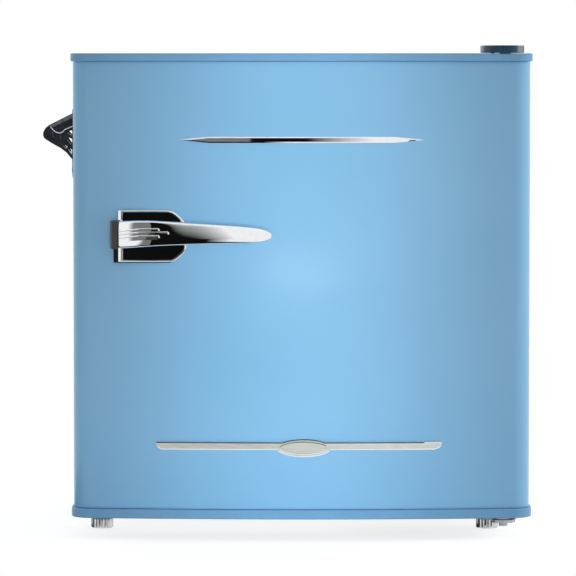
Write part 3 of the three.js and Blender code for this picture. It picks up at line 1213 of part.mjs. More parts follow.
/** The insulation in the door, between its skin, its caps and its liner. */
function doorFoam() {
  const inset = -SHEET - GAP;
  const ends = [SKIN_SPAN[0] + CAP_PLUG + 2 * GAP, SKIN_SPAN[1] - CAP_PLUG - 2 * GAP];
  const room = PLASTIC + GAP;
  const body = flat(doorPlan(inset, DOOR_REAR + inset), ends)
    .subtract(upright(pocketOutline(room), [-POCKET_DEPTH - room, DIKE_DEPTH]));
  const core = dike(room, [DOOR_REAR - EDGE_RADIUS, DIKE_DEPTH - room]);
  const boss = PIN_RADIUS + RUNNING / 2 + BUSH_WALL + 3 + GAP;
  const reach = PIN_LENGTH + 5 + GAP;
  const bosses = bar(boss, reach, [PIN_X, PIN_Y, DOOR_BOTTOM])
    .add(bar(boss, reach, [PIN_X, PIN_Y, DOOR_TOP], [0, 0, -1]));
  return body.add(core).subtract(bosses);
}

/** The magnetic gasket: a soft frame between the door and the cabinet's front. */
function gasket() {
  const inner = GASKET_MARGIN;
  const outer = GASKET_MARGIN + GASKET_WIDTH;
  const ring = (room) => roundedRect([-OPENING_HALF - room, OPENING_HALF + room],
    [FLOOR - room, CEILING + room], LINER_RADIUS + room);
  const depth = [DOOR_FLANGE + GAP, -GAP];
  const waist = (depth[0] + depth[1]) / 2;
  const body = upright(ring(outer), depth).subtract(upright(ring(inner), [depth[0] - 1, 1]));
  const groove = upright(ring(outer + 1), [waist - 1, waist + 1])
    .subtract(upright(ring(outer - 2.5), [depth[0] - 1, 1]));
  return body.subtract(groove);
}

// ---- Handle and trim ---------------------------------------------------------------------------

/** The handle base's outline: square on the left, its right corners swept back. */
function handleOutline(inset, left = inset) {
  const shape = new THREE.Shape();
  const right = HANDLE_RIGHT - inset;
  const top = HANDLE_TOP - inset;
  const bottom = HANDLE_BOTTOM + inset;
  const sweep = HANDLE_SWEEP - inset / 2;
  shape.moveTo(HANDLE_LEFT + left, bottom);
  shape.lineTo(right - sweep, bottom);
  shape.lineTo(right, bottom + sweep * 0.8);
  shape.lineTo(right, top - sweep * 0.8);
  shape.quadraticCurveTo(right - sweep * 0.35, top, right - sweep, top);
  shape.lineTo(HANDLE_LEFT + left, top);
  return shape;
}

const HANDLE_MIDDLE = (HANDLE_LEFT + HANDLE_RIGHT) / 2;
const HANDLE_FRONT = doorFace(HANDLE_MIDDLE) - HANDLE_BASE - PAD - 2 * GAP;
const LEVER_FRONT = doorFace(HANDLE_MIDDLE) - LEVER_STANDOFF;

/** The rubber pad between the handle and the door, which shows at the left below the knuckle. */
function handlePad() {
  const low = [HANDLE_BOTTOM - 0.6, LEVER_AXIS + KNUCKLE_HEIGHT / 2 - 2];
  return onDoor(roundedRect([HANDLE_LEFT - PAD_LEFT, HANDLE_RIGHT - HANDLE_SWEEP], low, 1.5),
    [GAP, GAP + PAD]);
}

function handleBase() {
  const body = upright(handleOutline(0), [HANDLE_FRONT, DOOR_REAR - EDGE_RADIUS], FINE)
    .subtract(flat(doorPlan(PAD + 2 * GAP), FULL_HEIGHT));
  const recess = upright(handleOutline(HANDLE_RIM, HANDLE_BAND),
    [HANDLE_FRONT - 1, HANDLE_FRONT + INSERT_DEPTH], FINE);
  return body.subtract(recess);
}

/** The black panel let into the handle's base. */
function handleInsert() {
  return upright(handleOutline(HANDLE_RIM + GAP, HANDLE_BAND + GAP),
    [HANDLE_FRONT + 2 * GAP, HANDLE_FRONT + INSERT_DEPTH - GAP], FINE);
}

/** The dark knuckle from which the lever seems to swing. */
function handleKnuckle() {
  const shape = new THREE.Shape();
  const right = HANDLE_LEFT + 1;
  const left = right - KNUCKLE_WIDTH;
  const front = LEVER_FRONT + 3;
  shape.moveTo(right, DOOR_REAR - EDGE_RADIUS);
  shape.lineTo(left + 1, DOOR_REAR - EDGE_RADIUS);
  shape.quadraticCurveTo(left - 1.5, (HANDLE_FRONT + front) / 2, left + 3, front);
  shape.lineTo(right, front);
  const middle = LEVER_AXIS - KNUCKLE_DROP;
  const tall = [middle - KNUCKLE_HEIGHT / 2, middle + KNUCKLE_HEIGHT / 2];
  return flat(shape, tall, FINE).subtract(flat(doorPlan(PAD + 2 * GAP), FULL_HEIGHT))
    .subtract(upright(handleOutline(-GAP), [HANDLE_FRONT - GAP, 0], FINE));
}

/** The lever seen from the front: full at the root, tapered, with a round tip. */
function leverOutline() {
  const root = HANDLE_LEFT + 1 + GAP;
  const shape = new THREE.Shape();
  const swell = root + 30;
  shape.moveTo(root, LEVER_AXIS - 13.4);
  shape.quadraticCurveTo(root + 14, LEVER_AXIS - 11.8, swell, LEVER_AXIS - 10.4);
  shape.lineTo(LEVER_TIP - 14, LEVER_AXIS - 7.5);
  shape.quadraticCurveTo(LEVER_TIP - 4, LEVER_AXIS - 6.4, LEVER_TIP, LEVER_AXIS - 1.3);
  shape.quadraticCurveTo(LEVER_TIP - 4, LEVER_AXIS + 4.6, LEVER_TIP - 14, LEVER_AXIS + 6.6);
  shape.lineTo(root + LEVER_SHOULDER, LEVER_AXIS + 12.3);
  shape.quadraticCurveTo(swell, LEVER_AXIS + 15.8, root, LEVER_AXIS + 13);
  return shape;
}

/** The lever seen from above: bowed towards the door at its tip, grown on its front. */
function leverPlan(grow) {
  const root = HANDLE_LEFT - 5;
  const tipFront = LEVER_FRONT + 12;
  const shape = new THREE.Shape();
  shape.moveTo(root, LEVER_FRONT + 15);
  shape.lineTo(root, LEVER_FRONT + 2 - grow);
  shape.quadraticCurveTo(root + 22, LEVER_FRONT - 0.5 - grow, root + 60, LEVER_FRONT + 1 - grow);
  shape.quadraticCurveTo(LEVER_TIP - 40, LEVER_FRONT + 4 - grow, LEVER_TIP + 1, tipFront - grow);
  shape.lineTo(LEVER_TIP + 1, tipFront + 3);
  shape.quadraticCurveTo(LEVER_TIP - 60, LEVER_FRONT + 13, root + 50, LEVER_FRONT + 13);
  return shape;
}

/** The chrome lever: a tapered blade on a post, with three raised speed lines at its root. */
function handleLever() {
  const deep = [LEVER_FRONT - 5, HANDLE_FRONT - GAP];
  const blade = upright(leverOutline(), deep, FINE)
    .intersect(flat(leverPlan(0), FULL_HEIGHT, FINE));
  const post = span([HANDLE_LEFT + 6, HANDLE_LEFT + 36], [LEVER_FRONT + 8, HANDLE_FRONT - GAP],
    [LEVER_AXIS - 8, LEVER_AXIS + 9]);
  const raised = flat(leverPlan(LEVER_RIB), FULL_HEIGHT, FINE);
  let lever = blade.add(post);
  for (const [rise, length] of LEVER_RIBS) {
    const z = LEVER_AXIS + rise;
    const line = roundedRect([HANDLE_LEFT + 1.5, HANDLE_LEFT + length], [z - 0.9, z + 0.9], 0.8);
    lever = lever.add(upright(line, [LEVER_FRONT - 5, LEVER_FRONT + 6]).intersect(raised));
  }
  return lever;
}

/** The lower trim: a slim strip, rounded below, that widens to an oval in its middle. */
function trimStrip() {
  const top = TRIM_BOTTOM + TRIM_HEIGHT;
  const shape = new THREE.Shape();
  shape.moveTo(TRIM_LEFT + 7, TRIM_BOTTOM);
  shape.lineTo(TRIM_RIGHT - 12, TRIM_BOTTOM);
  shape.quadraticCurveTo(TRIM_RIGHT - 3, TRIM_BOTTOM + 1, TRIM_RIGHT, top);
  shape.lineTo(TRIM_LEFT, top);
  shape.quadraticCurveTo(TRIM_LEFT + 0.5, TRIM_BOTTOM + 0.6, TRIM_LEFT + 7, TRIM_BOTTOM);
  const oval = new THREE.Shape();
  oval.absellipse(...medallionCentre(), MEDALLION_WIDTH / 2, MEDALLION_HEIGHT / 2, 0, 2 * Math.PI);
  const depth = [GAP, GAP + TRIM_THICKNESS];
  return onDoor(shape, depth).add(onDoor(oval, depth, 12));
}

function medallionCentre() {
  return [TRIM_SHIFT + MEDALLION_SHIFT[0], TRIM_BOTTOM + MEDALLION_SHIFT[1]];
}

/** The plain oval boss on the trim's middle. */
function trimMedallion() {
  const oval = new THREE.Shape();
  oval.absellipse(...medallionCentre(), MEDALLION_WIDTH / 2 - 3, MEDALLION_HEIGHT / 2 - 3, 0,
    2 * Math.PI);
  const start = TRIM_THICKNESS + 2 * GAP;
  return onDoor(oval, [start, start + 1.6], 12);
}

/** The upper trim: a plain bar, pointed at both ends. */
function upperTrim() {
  const half = UPPER_TRIM_WIDTH / 2;
  const tall = UPPER_TRIM_HEIGHT / 2;
  const shape = new THREE.Shape();
  shape.moveTo(-half, UPPER_TRIM_Z);
  shape.lineTo(UPPER_TRIM_POINT - half, UPPER_TRIM_Z - tall);
  shape.lineTo(half - UPPER_TRIM_POINT, UPPER_TRIM_Z - tall);
  shape.lineTo(half, UPPER_TRIM_Z);
  shape.lineTo(half - UPPER_TRIM_POINT, UPPER_TRIM_Z + tall);
  shape.lineTo(UPPER_TRIM_POINT - half, UPPER_TRIM_Z + tall);
  return onDoor(shape, [GAP, GAP + TRIM_THICKNESS]);
}

// ---- Bottle opener -----------------------------------------------------------------------------

/** A cast opener: a plate, a sloped hood, a nose and two cheeks pierced by windows. */
function bottleOpener() {
  const face = -HALF - GAP;
  const at = (points) => polygon(points.map(([out, z]) => [face - out, z]).reverse());
  const half = OPENER_WIDTH / 2;
  const across = [OPENER_Y - half, OPENER_Y + half];
  const outer = new THREE.Shape();
  outer.moveTo(face, OPENER_TOP);
  outer.lineTo(face - OPENER_REACH + 6, OPENER_NOSE + 8);
  outer.quadraticCurveTo(face - OPENER_REACH, OPENER_NOSE + 5, face - OPENER_REACH, OPENER_NOSE - 1);
  outer.quadraticCurveTo(face - OPENER_REACH, OPENER_NOSE - 7, face - OPENER_REACH + 6, OPENER_NOSE - 9);
  outer.lineTo(face - 15, OPENER_HEEL + 10);
  outer.quadraticCurveTo(face - 7, OPENER_HEEL + 5, face - OPENER_PLATE + 1, OPENER_HEEL - 1);
  outer.lineTo(face, OPENER_HEEL - 1);
  const plate = sideways(roundedRect(across, [OPENER_FOOT, OPENER_TOP + 2], 8),
    [face - OPENER_PLATE, face]);
  const wall = OPENER_WALL;
  const hollow = at([
    [OPENER_PLATE, OPENER_TOP - 9], [OPENER_REACH - 9, OPENER_NOSE + 5],
    [OPENER_REACH - 6, OPENER_NOSE - 2], [OPENER_REACH - 9, OPENER_NOSE - 6],
    [14, OPENER_HEEL + 14], [OPENER_PLATE, OPENER_HEEL + 6],
  ]);
  const mouth = span([face - OPENER_REACH + 9, face - OPENER_PLATE - 4],
    [across[0] + wall + 5, across[1] - wall - 5], [OPENER_HEEL - 2, OPENER_NOSE]);
  const upperWindow = at([[OPENER_PLATE, OPENER_NOSE + 8], [13, OPENER_NOSE + 5],
    [OPENER_PLATE, OPENER_NOSE - 1]]);
  const lowerWindow = at([[OPENER_PLATE, OPENER_NOSE - 5], [14, OPENER_NOSE - 7.5],
    [10, OPENER_NOSE - 13], [OPENER_PLATE, OPENER_NOSE - 15]]);
  const through = [across[0] - 1, across[1] + 1];
  let opener = upright(outer, across, FINE)
    .subtract(upright(hollow, [across[0] + wall, across[1] - wall])).subtract(mouth)
    .subtract(upright(upperWindow, through)).subtract(upright(lowerWindow, through)).add(plate);
  for (const z of OPENER_SCREWS) {
    opener = opener.subtract(screwHole([face, OPENER_Y, z], [1, 0, 0]))
      .subtract(screwHole([face - OPENER_PLATE, OPENER_Y, z], [1, 0, 0]));
  }
  return opener;
}

// ---- The refrigerator --------------------------------------------------------------------------

piece("cabinet_wrap", cabinetWrap(), "bluePaint");
piece("front_rail", frontRail(), "zinc");
piece("back_panel", backPanel(), "zinc");
piece("compartment_panel", compartmentPanel(), "zinc");
piece("base_pan", basePan(), "zinc");
piece("compressor_plate", compressorPlate(), "zinc");
piece("cabinet_foam", cabinetFoam(), "foam");
piece("inner_liner", innerLiner(), "whitePlastic");
piece("wire_shelf", wireShelf(), "chrome");
piece("chiller_box", chillerBox(), "aluminium");
piece("chiller_bezel", chillerBezel(), "whitePlastic");
piece("chiller_flap", chillerFlap(), "clearPlastic");
piece("drip_tray", dripTray(), "clearPlastic");
piece("thermostat_case", thermostatCase(), "whitePlastic");
piece("thermostat_knob", thermostatKnob(), "greyPlastic");
piece("sensing_tube", sensingTube(), "copper");
piece("condenser_coil", condenserCoil(), "copper");
piece("compressor", compressor(), "blackPaint");
grommetPlaces().forEach((place, i) => piece(`grommet_${i + 1}`, grommet(place), "rubber"));
piece("starter_cover", starterCover(), "blackPlastic");
piece("cord_gland", cordGland(), "blackPlastic");
piece("discharge_line", dischargeLine(), "copper");
piece("suction_line", suctionLine(), "copper");
piece("filter_drier", filterDrier(), "copper");
piece("capillary", capillary(), "copper");

piece("top_hinge_bracket", topHingeBracket(), "zinc");
piece("top_hinge_cover", topHingeCover(), "darkBlue");
piece("bottom_hinge_bracket", bottomHingeBracket(), "zinc");
TOP_HINGE_SCREWS.forEach(([x, y], i) => {
  const head = CABINET_TOP + 2 * GAP + HINGE_PLATE;
  const form = screw([x, y, head], [0, 0, -1], head - CABINET_TOP + SHEET);
  piece(`top_hinge_screw_${i + 1}`, form, "zinc");
});
LOWER_HINGE_SCREWS.forEach(([x, y], i) => {
  const head = BASE_HEIGHT - 2 * GAP - HINGE_PLATE;
  const form = screw([x, y, head], [0, 0, 1], BASE_TOP - head);
  piece(`lower_hinge_screw_${i + 1}`, form, "zinc");
});
["left", "right"].forEach((side, i) => {
  piece(`${side}_front_foot`, frontFoot(FRONT_FEET[i]), "satin");
  piece(`${side}_rear_foot`, rearFoot(i === 0 ? -1 : 1), "blackPlastic");
});

piece("door_skin", doorSkin(), "bluePaint");
piece("door_top_cap", doorCap([DOOR_TOP - TOP_CAP_HEIGHT, DOOR_TOP],
  [DOOR_TOP - TOP_CAP_HEIGHT - CAP_PLUG, DOOR_TOP - CAP_BEVEL], DOOR_TOP, -1), "blueCap");
piece("door_bottom_cap", doorCap([DOOR_BOTTOM, DOOR_BOTTOM + BOTTOM_CAP_HEIGHT],
  [DOOR_BOTTOM + CAP_BEVEL, DOOR_BOTTOM + BOTTOM_CAP_HEIGHT + CAP_PLUG], DOOR_BOTTOM, 1), "blueCap");
piece("top_hinge_bush", hingeBush(DOOR_TOP, -1), "whitePlastic");
piece("bottom_hinge_bush", hingeBush(DOOR_BOTTOM, 1), "whitePlastic");
piece("door_foam", doorFoam(), "foam");
piece("door_liner", doorLiner(), "whitePlastic");
piece("door_gasket", gasket(), "paleRubber");
piece("lower_bin_bar", binBar(0), "clearPlastic");
piece("upper_bin_bar", binBar(1), "clearPlastic");

piece("handle_pad", handlePad(), "rubber");
piece("handle_base", handleBase(), "chrome");
piece("handle_insert", handleInsert(), "blackPlastic");
piece("handle_knuckle", handleKnuckle(), "greyPlastic");
piece("handle_lever", handleLever(), "chrome");
piece("trim_strip", trimStrip(), "satin");
piece("trim_medallion", trimMedallion(), "satin");
piece("upper_trim", upperTrim(), "chrome");
piece("bottle_opener", bottleOpener(), "blackChrome");
OPENER_SCREWS.forEach((z, i) => {
  const head = -HALF - 2 * GAP - OPENER_PLATE;
  const form = screw([head, OPENER_Y, z], [1, 0, 0], -HALF + SHEET - head);
  piece(`opener_screw_${i + 1}`, form, "blackChrome");
});

// The origin goes on the floor, under the middle of the whole.
const extent = new THREE.Box3().setFromObject(assembly);
const middle = extent.getCenter(new THREE.Vector3());
assembly.position.set(-middle.x, -middle.y, -extent.min.z);
const refrigerator = new THREE.Group();
refrigerator.add(assembly);

export default refrigerator;
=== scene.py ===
# %% [markdown]
# # A compact retro refrigerator
#
# This lesson dresses a half-metre bar refrigerator. Its structure comes as a fixed frame of named
# solids: cabinet, door, liners, chiller, compressor and hinges. Here the pieces that catch the eye
# are modelled again with finer shapes, and every piece gets the finish of its real material.
# Everything is in metres, +Z is up, and the door faces -Y.

# %% Loading the frame
import json
import math

import bmesh
import bpy
from mathutils import Matrix, Vector

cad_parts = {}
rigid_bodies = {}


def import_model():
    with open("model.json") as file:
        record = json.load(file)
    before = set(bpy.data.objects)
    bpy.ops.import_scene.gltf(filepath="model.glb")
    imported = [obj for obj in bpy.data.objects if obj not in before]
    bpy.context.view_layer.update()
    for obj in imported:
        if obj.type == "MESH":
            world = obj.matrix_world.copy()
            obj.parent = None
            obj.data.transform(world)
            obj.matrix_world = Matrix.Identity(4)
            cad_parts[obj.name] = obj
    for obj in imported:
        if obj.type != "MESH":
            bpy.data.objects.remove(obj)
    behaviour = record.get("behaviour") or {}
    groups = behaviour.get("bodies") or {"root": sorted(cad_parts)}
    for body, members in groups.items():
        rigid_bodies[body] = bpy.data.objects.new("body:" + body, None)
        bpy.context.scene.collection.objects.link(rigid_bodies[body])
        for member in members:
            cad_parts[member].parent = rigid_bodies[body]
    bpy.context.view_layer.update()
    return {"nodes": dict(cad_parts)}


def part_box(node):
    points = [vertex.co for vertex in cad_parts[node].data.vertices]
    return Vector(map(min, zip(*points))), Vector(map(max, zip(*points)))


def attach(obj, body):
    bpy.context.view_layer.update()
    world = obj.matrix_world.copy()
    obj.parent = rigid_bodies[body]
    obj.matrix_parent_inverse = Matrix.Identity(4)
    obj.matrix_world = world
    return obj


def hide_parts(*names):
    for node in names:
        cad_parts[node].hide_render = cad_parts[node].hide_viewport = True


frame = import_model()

# %% [markdown]
# ## Measuring from the cabinet
#
# A fitter measures from the cabinet: its middle, its front plane and the floor. So do we. Sizes
# are written in millimetres, as on a drawing, and one function turns them into points.

# %% The drawing's origin
MM = 0.001
wrap_low, wrap_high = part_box("cabinet_wrap")
MIDDLE = (wrap_low.x + wrap_high.x) / 2
FRONT = wrap_low.y


def at(x, y, z):
    """A point in metres, from millimetres right of the middle, behind the front and up."""
    return Vector((MIDDLE + x * MM, FRONT + y * MM, z * MM))


def measured(place):
    """A point in metres, turned back into the drawing's millimetres."""
    return (place - at(0, 0, 0)) / MM


def drawn(node):
    """A frame node's lowest and highest corners, in the drawing's millimetres."""
    return [measured(corner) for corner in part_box(node)]


skin_low, skin_high = drawn("door_skin")
print("door skin, mm:", [round(v, 1) for v in (*skin_low, *skin_high)])

# %% [markdown]
# ## Working by hand
#
# Each new piece starts from a primitive with everything else deselected, and is shaped in edit
# mode. Nothing is clicked here, so corners and faces are chosen by where they are.

# %% Starting, choosing and moving
def mode(name):
    """Opens the active piece for editing, or leaves it."""
    bpy.ops.object.mode_set(mode=name)


def put_down():
    """Leaves the piece that is open, if one is, and deselects everything."""
    if bpy.context.mode == "EDIT_MESH":
        mode("OBJECT")
    bpy.ops.object.select_all(action="DESELECT")


def begin(kind, **settings):
    """Adds a primitive and opens it for editing."""
    put_down()
    getattr(bpy.ops.mesh, f"primitive_{kind}_add")(**settings)
    mode("EDIT")
    bpy.ops.mesh.select_mode(type="VERT")
    return bpy.context.object


def take_up(piece):
    """Opens a piece for editing again."""
    put_down()
    piece.select_set(True)
    bpy.context.view_layer.objects.active = piece
    mode("EDIT")


def select_all():
    """Selects the whole of the open mesh."""
    bpy.ops.mesh.select_all(action="SELECT")


def pick(test, kind="VERT"):
    """Selects the corners or the faces whose middle, in millimetres, passes a test."""
    bpy.ops.mesh.select_mode(type=kind)
    bpy.ops.mesh.select_all(action="DESELECT")
    piece = bpy.context.object
    mesh = bmesh.from_edit_mesh(piece.data)
    for part in mesh.verts if kind == "VERT" else mesh.faces:
        corners = [part] if kind == "VERT" else part.verts
        middle = sum((corner.co for corner in corners), Vector()) / len(corners)
        if test(measured(piece.matrix_world @ middle)):
            part.select_set(True)
    mesh.select_flush_mode()
    bmesh.update_edit_mesh(piece.data)


def move(x=0, y=0, z=0):
    """Moves what is selected by millimetres."""
    bpy.ops.transform.translate(value=(x * MM, y * MM, z * MM))


def extrude(step):
    """Extrudes what is selected by a step in metres."""
    bpy.ops.mesh.extrude_region_move(TRANSFORM_OT_translate={"value": step})


def pull(x=0, y=0, z=0):
    """Extrudes what is selected by millimetres."""
    extrude((x * MM, y * MM, z * MM))


def inset(width):
    """Insets the selected faces by millimetres."""
    bpy.ops.mesh.inset(thickness=width * MM)


def weld(reach):
    """Merges the selected corners that lie within millimetres of each other."""
    bpy.ops.mesh.remove_doubles(threshold=reach * MM)


# %% [markdown]
# Sheet metal and castings are drawn as outlines: straight runs joined by arcs. The pen below
# starts as one corner, is pulled along straight runs and swung round arcs by the spin tool, and
# leaves a line of edges that is then filled or pulled into a sheet.

# %% A pen that draws with edges
def pen_at():
    """Where the pen is now."""
    piece = bpy.context.object
    mesh = bmesh.from_edit_mesh(piece.data)
    tip = next(corner for corner in mesh.verts if corner.select)
    return piece.matrix_world @ tip.co


def pen_down(point):
    """Starts an outline: a plane cut down to the single corner that will be pulled along."""
    piece = begin("plane", size=MM, location=point)
    here = measured(point)
    pick(lambda corner: corner.x > here.x or corner.y > here.y)
    bpy.ops.mesh.delete(type="VERT")
    select_all()
    bpy.ops.transform.translate(value=point - pen_at())
    return piece


def line_to(point):
    """Pulls the pen straight to a point."""
    extrude(point - pen_at())


def swing(centre, degrees, steps, axis=(0, 0, 1)):
    """Swings the pen round a centre, anticlockwise seen from the axis's tip."""
    bpy.ops.mesh.spin(steps=steps, angle=math.radians(-degrees), center=centre, axis=axis)


def close_outline():
    """Joins the pen's line to its start, and fills it."""
    select_all()
    weld(0.02)
    bpy.ops.mesh.edge_face_add()


def trace(points):
    """Draws a line through points."""
    piece = pen_down(points[0])
    for point in points[1:]:
        line_to(point)
    return piece


def draw(points):
    """Draws a filled outline through points."""
    piece = trace(points)
    close_outline()
    return piece


# %% Finishing a piece
def shade(degrees):
    """Shades the selected piece smooth, except over sharper edges than this."""
    bpy.ops.object.shade_smooth_by_angle(angle=math.radians(degrees))


def close_piece(piece, name, body, smooth=35):
    """Leaves edit mode, turns faces outwards, fixes the place, and joins the piece to its body."""
    select_all()
    weld(0.005)
    bpy.ops.mesh.normals_make_consistent(inside=False)
    mode("OBJECT")
    bpy.ops.object.transform_apply(location=True, rotation=True, scale=True)
    piece.name = piece.data.name = name
    shade(smooth)
    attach(piece, body)


def apply_modifier(piece, kind, **settings):
    """Adds a modifier and applies it at once."""
    bpy.context.view_layer.objects.active = piece
    modifier = piece.modifiers.new(kind.title(), kind)
    for name, value in settings.items():
        setattr(modifier, name, value)
    bpy.ops.object.modifier_apply(modifier=modifier.name)


def soften(piece, width, segments=2, angle=30):
    """Rounds the sharp edges by a width in millimetres, as moulds and dies do."""
    apply_modifier(piece, "BEVEL", width=width * MM, segments=segments, limit_method="ANGLE",
                   angle_limit=math.radians(angle), harden_normals=False, use_clamp_overlap=True)


def done(piece, node=None):
    """Lets a piece stand for its frame node, if it has one, and prints its size."""
    if node:
        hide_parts(node)
    sizes = ", ".join(f"{value / MM:.1f}" for value in piece.dimensions)
    print(f"{piece.name}: {sizes} mm, {len(piece.data.polygons)} faces")


# %% [markdown]
# ## Door skin
#
# The door's outside is one steel sheet, rolled to a slight bow and folded round both edges, with
# narrow flanges turned in at the back. A box with bevelled edges would miss the bow. So we do what
# the press does: one corner is swung through the bow and round each edge, the line is pulled up
# into a sheet, and the sheet gets its millimetre of thickness inwards.

# %% The sheet's section
HALF, REAR, CROWN = skin_high.x, skin_high.y, skin_low.y
BOW_RISE = 12
EDGE_RADIUS = 20
CHORD = HALF - EDGE_RADIUS
BOW_RADIUS = (CHORD ** 2 + BOW_RISE ** 2) / (2 * BOW_RISE)
BOW_CENTRE = CROWN + BOW_RADIUS
FLANGE = 11


def door_line(grow, z, flange=0):
    """Draws the door's section, grown by millimetres, from its right rear to its left rear."""
    reach = BOW_RADIUS - EDGE_RADIUS
    corner_y = BOW_CENTRE - math.sqrt(reach ** 2 - CHORD ** 2)
    half_sweep = math.degrees(math.asin(CHORD / reach))
    half = CHORD + EDGE_RADIUS + grow
    piece = pen_down(at(half - flange, REAR, z))
    if flange:
        line_to(at(half, REAR, z))
    line_to(at(half, corner_y, z))
    swing(at(CHORD, corner_y, z), half_sweep - 90, 10)
    swing(at(0, BOW_CENTRE, z), -2 * half_sweep, 32)
    swing(at(-CHORD, corner_y, z), half_sweep - 90, 10)
    line_to(at(-half, REAR, z))
    if flange:
        line_to(at(flange - half, REAR, z))
    return piece


door_skin = door_line(0, skin_low.z, flange=FLANGE)
select_all()
pull(z=skin_high.z - skin_low.z)
close_piece(door_skin, "bowed_door_skin", "door", smooth=25)
apply_modifier(door_skin, "SOLIDIFY", thickness=MM, offset=-1)
soften(door_skin, 0.25, 1)
done(door_skin, "door_skin")

# %% [markdown]
# ## End caps
#
# Two moulded caps close the skin at the top and the bottom. They stand a little proud of it, and
# the mould has rounded their rims. The same section is drawn larger, filled, pulled to its
# thickness and bevelled. A cutter then makes the hole for the hinge pin's bush.

# %% Cutting with a second piece
def cut_away(piece, cutter):
    """Cuts a second piece out of the first and throws it away."""
    put_down()
    apply_modifier(piece, "BOOLEAN", operation="DIFFERENCE", object=cutter, solver="EXACT")
    bpy.data.objects.remove(cutter)


def rod(x, y, low, high, radius, sides):
    """An upright rod from one height to another."""
    return begin("cylinder", vertices=sides, radius=radius * MM, depth=(high - low) * MM,
                 location=at(x, y, (low + high) / 2))


# %% Both caps
door_top = drawn("door_top_cap")[1].z
door_bottom = drawn("door_bottom_cap")[0].z
PROUD = drawn("door_top_cap")[1].x - HALF
TOP_CAP, BOTTOM_CAP = 8.3, 9.8  # their heights
BUSH_GAP = 0.3


def end_cap(name, node, bush, low, high):
    """A filled slab with rounded rims and a hole for its bush."""
    slab = door_line(PROUD, low)
    close_outline()
    pull(z=high - low)
    close_piece(slab, name, "door")
    soften(slab, 1.4, 3, angle=60)
    bush_low, bush_high = drawn(bush)
    middle = (bush_low + bush_high) / 2
    cut_away(slab, rod(middle.x, middle.y, low - 2, high + 2,
                       (bush_high.x - bush_low.x) / 2 + BUSH_GAP, 40))
    done(slab, node)


end_cap("moulded_top_cap", "door_top_cap", "top_hinge_bush", door_top - TOP_CAP, door_top)
end_cap("moulded_bottom_cap", "door_bottom_cap", "bottom_hinge_bush", door_bottom,
        door_bottom + BOTTOM_CAP)

# %% [markdown]
# ## Cabinet wrap
#
# The cabinet's sides and top are one long sheet, bent at the two upper edges and folded in at the
# front into a narrow face round the mouth. Its outside is drawn as an upside-down U and pulled to
# the back. The front face is filled between two outlines and welded on before the sheet gets its
# thickness, so the fold has no seam.

# %% Folding the wrap
side_low, side_high = drawn("cabinet_wrap")
FOLD = 9  # radius of the two upper bends
MOUTH, MOUTH_TOP, MOUTH_RADIUS = 195.8, 455.3, 20.3  # half width, height and corners


def upside_down_u(half, top, radius):
    """Draws an upside-down U in the front plane, from its right foot to its left foot."""
    upright = (0, 1, 0)
    piece = pen_down(at(half, 0, side_low.z))
    line_to(at(half, 0, top - radius))
    swing(at(half - radius, 0, top - radius), -90, 8, upright)
    line_to(at(radius - half, 0, top))
    swing(at(radius - half, 0, top - radius), -90, 8, upright)
    line_to(at(-half, 0, side_low.z))
    return piece


def join_into(piece):
    """Joins the last piece into another one, and opens that with everything selected."""
    mode("OBJECT")
    piece.select_set(True)
    bpy.context.view_layer.objects.active = piece
    bpy.ops.object.join()
    mode("EDIT")
    select_all()


wrap = upside_down_u(side_high.x, side_high.z, FOLD)
select_all()
pull(y=side_high.y - side_low.y)
front_face = upside_down_u(side_high.x, side_high.z, FOLD)
upside_down_u(MOUTH, MOUTH_TOP, MOUTH_RADIUS)
join_into(front_face)
bpy.ops.mesh.bridge_edge_loops()
join_into(wrap)
close_piece(wrap, "folded_cabinet_wrap", "cabinet", smooth=25)
apply_modifier(wrap, "SOLIDIFY", thickness=MM, offset=-1, use_even_offset=True)
soften(wrap, 0.4, 2, angle=50)
done(wrap, "cabinet_wrap")

# %% [markdown]
# ## The pull's base
#
# The base of the pull is a plated casting with a raised rim and a gloss black panel let in. Its
# left edge is a double band: a slope that faces left, then a flat strip beside the panel. Its
# right corners are long, round cuts. The rim leans outwards all round, so it mirrors the bright
# room and not the dark in front. We draw the outline, pull it to its thickness, inset the front
# twice, for the lean and for the rim's flat, and push the floor back.

# %% Positions on the pull
base_low, base_high = drawn("handle_base")
lever_low, lever_high = drawn("handle_lever")
PULL_LEFT, PULL_RIGHT = base_low.x, base_high.x
PULL_BOTTOM, PULL_TOP = base_low.z, base_high.z
PULL_FRONT = base_low.y
LEVER_AXIS = PULL_TOP - 22.9
RIM = 1.6  # width of the rim, of which the first part leans back
SLOPE, LEAN = 1.05, 0.7  # width and depth of that part
FLOOR = 2.2  # how far the floor lies behind the rim
BAND = 4.6  # width of the double band
CREASE = PULL_LEFT + 2.5  # where its slope meets its flat strip
# corners of the two right-hand cuts: in from the right edge, and in from the top or bottom
UPPER_CUT = [(0, 17.5), (0.6, 14), (1.8, 11), (5.5, 7), (10, 3.1), (13.5, 1), (17.5, 0)]
LOWER_CUT = [(14.5, 0), (11.5, 1.2), (7.9, 3.6), (3, 7.9), (0.9, 11), (0, 14.5)]


def door_face(x):
    """How far in front the bowed face stands at a place across it."""
    return BOW_CENTRE - math.sqrt(BOW_RADIUS ** 2 - x ** 2)


def pull_outline(y, shrink=0.0, left=0.0):
    """Draws the base's outline: a straight left edge and a long round cut at each right corner."""
    right = PULL_RIGHT - shrink
    top = PULL_TOP - shrink
    bottom = PULL_BOTTOM + shrink
    corners = [(PULL_LEFT + left, bottom)]
    corners += [(right - across, bottom + rise) for across, rise in LOWER_CUT]
    corners += [(right - across, top - rise) for across, rise in UPPER_CUT]
    corners += [(PULL_LEFT + left, top)]
    return draw([at(x, y, z) for x, z in corners])


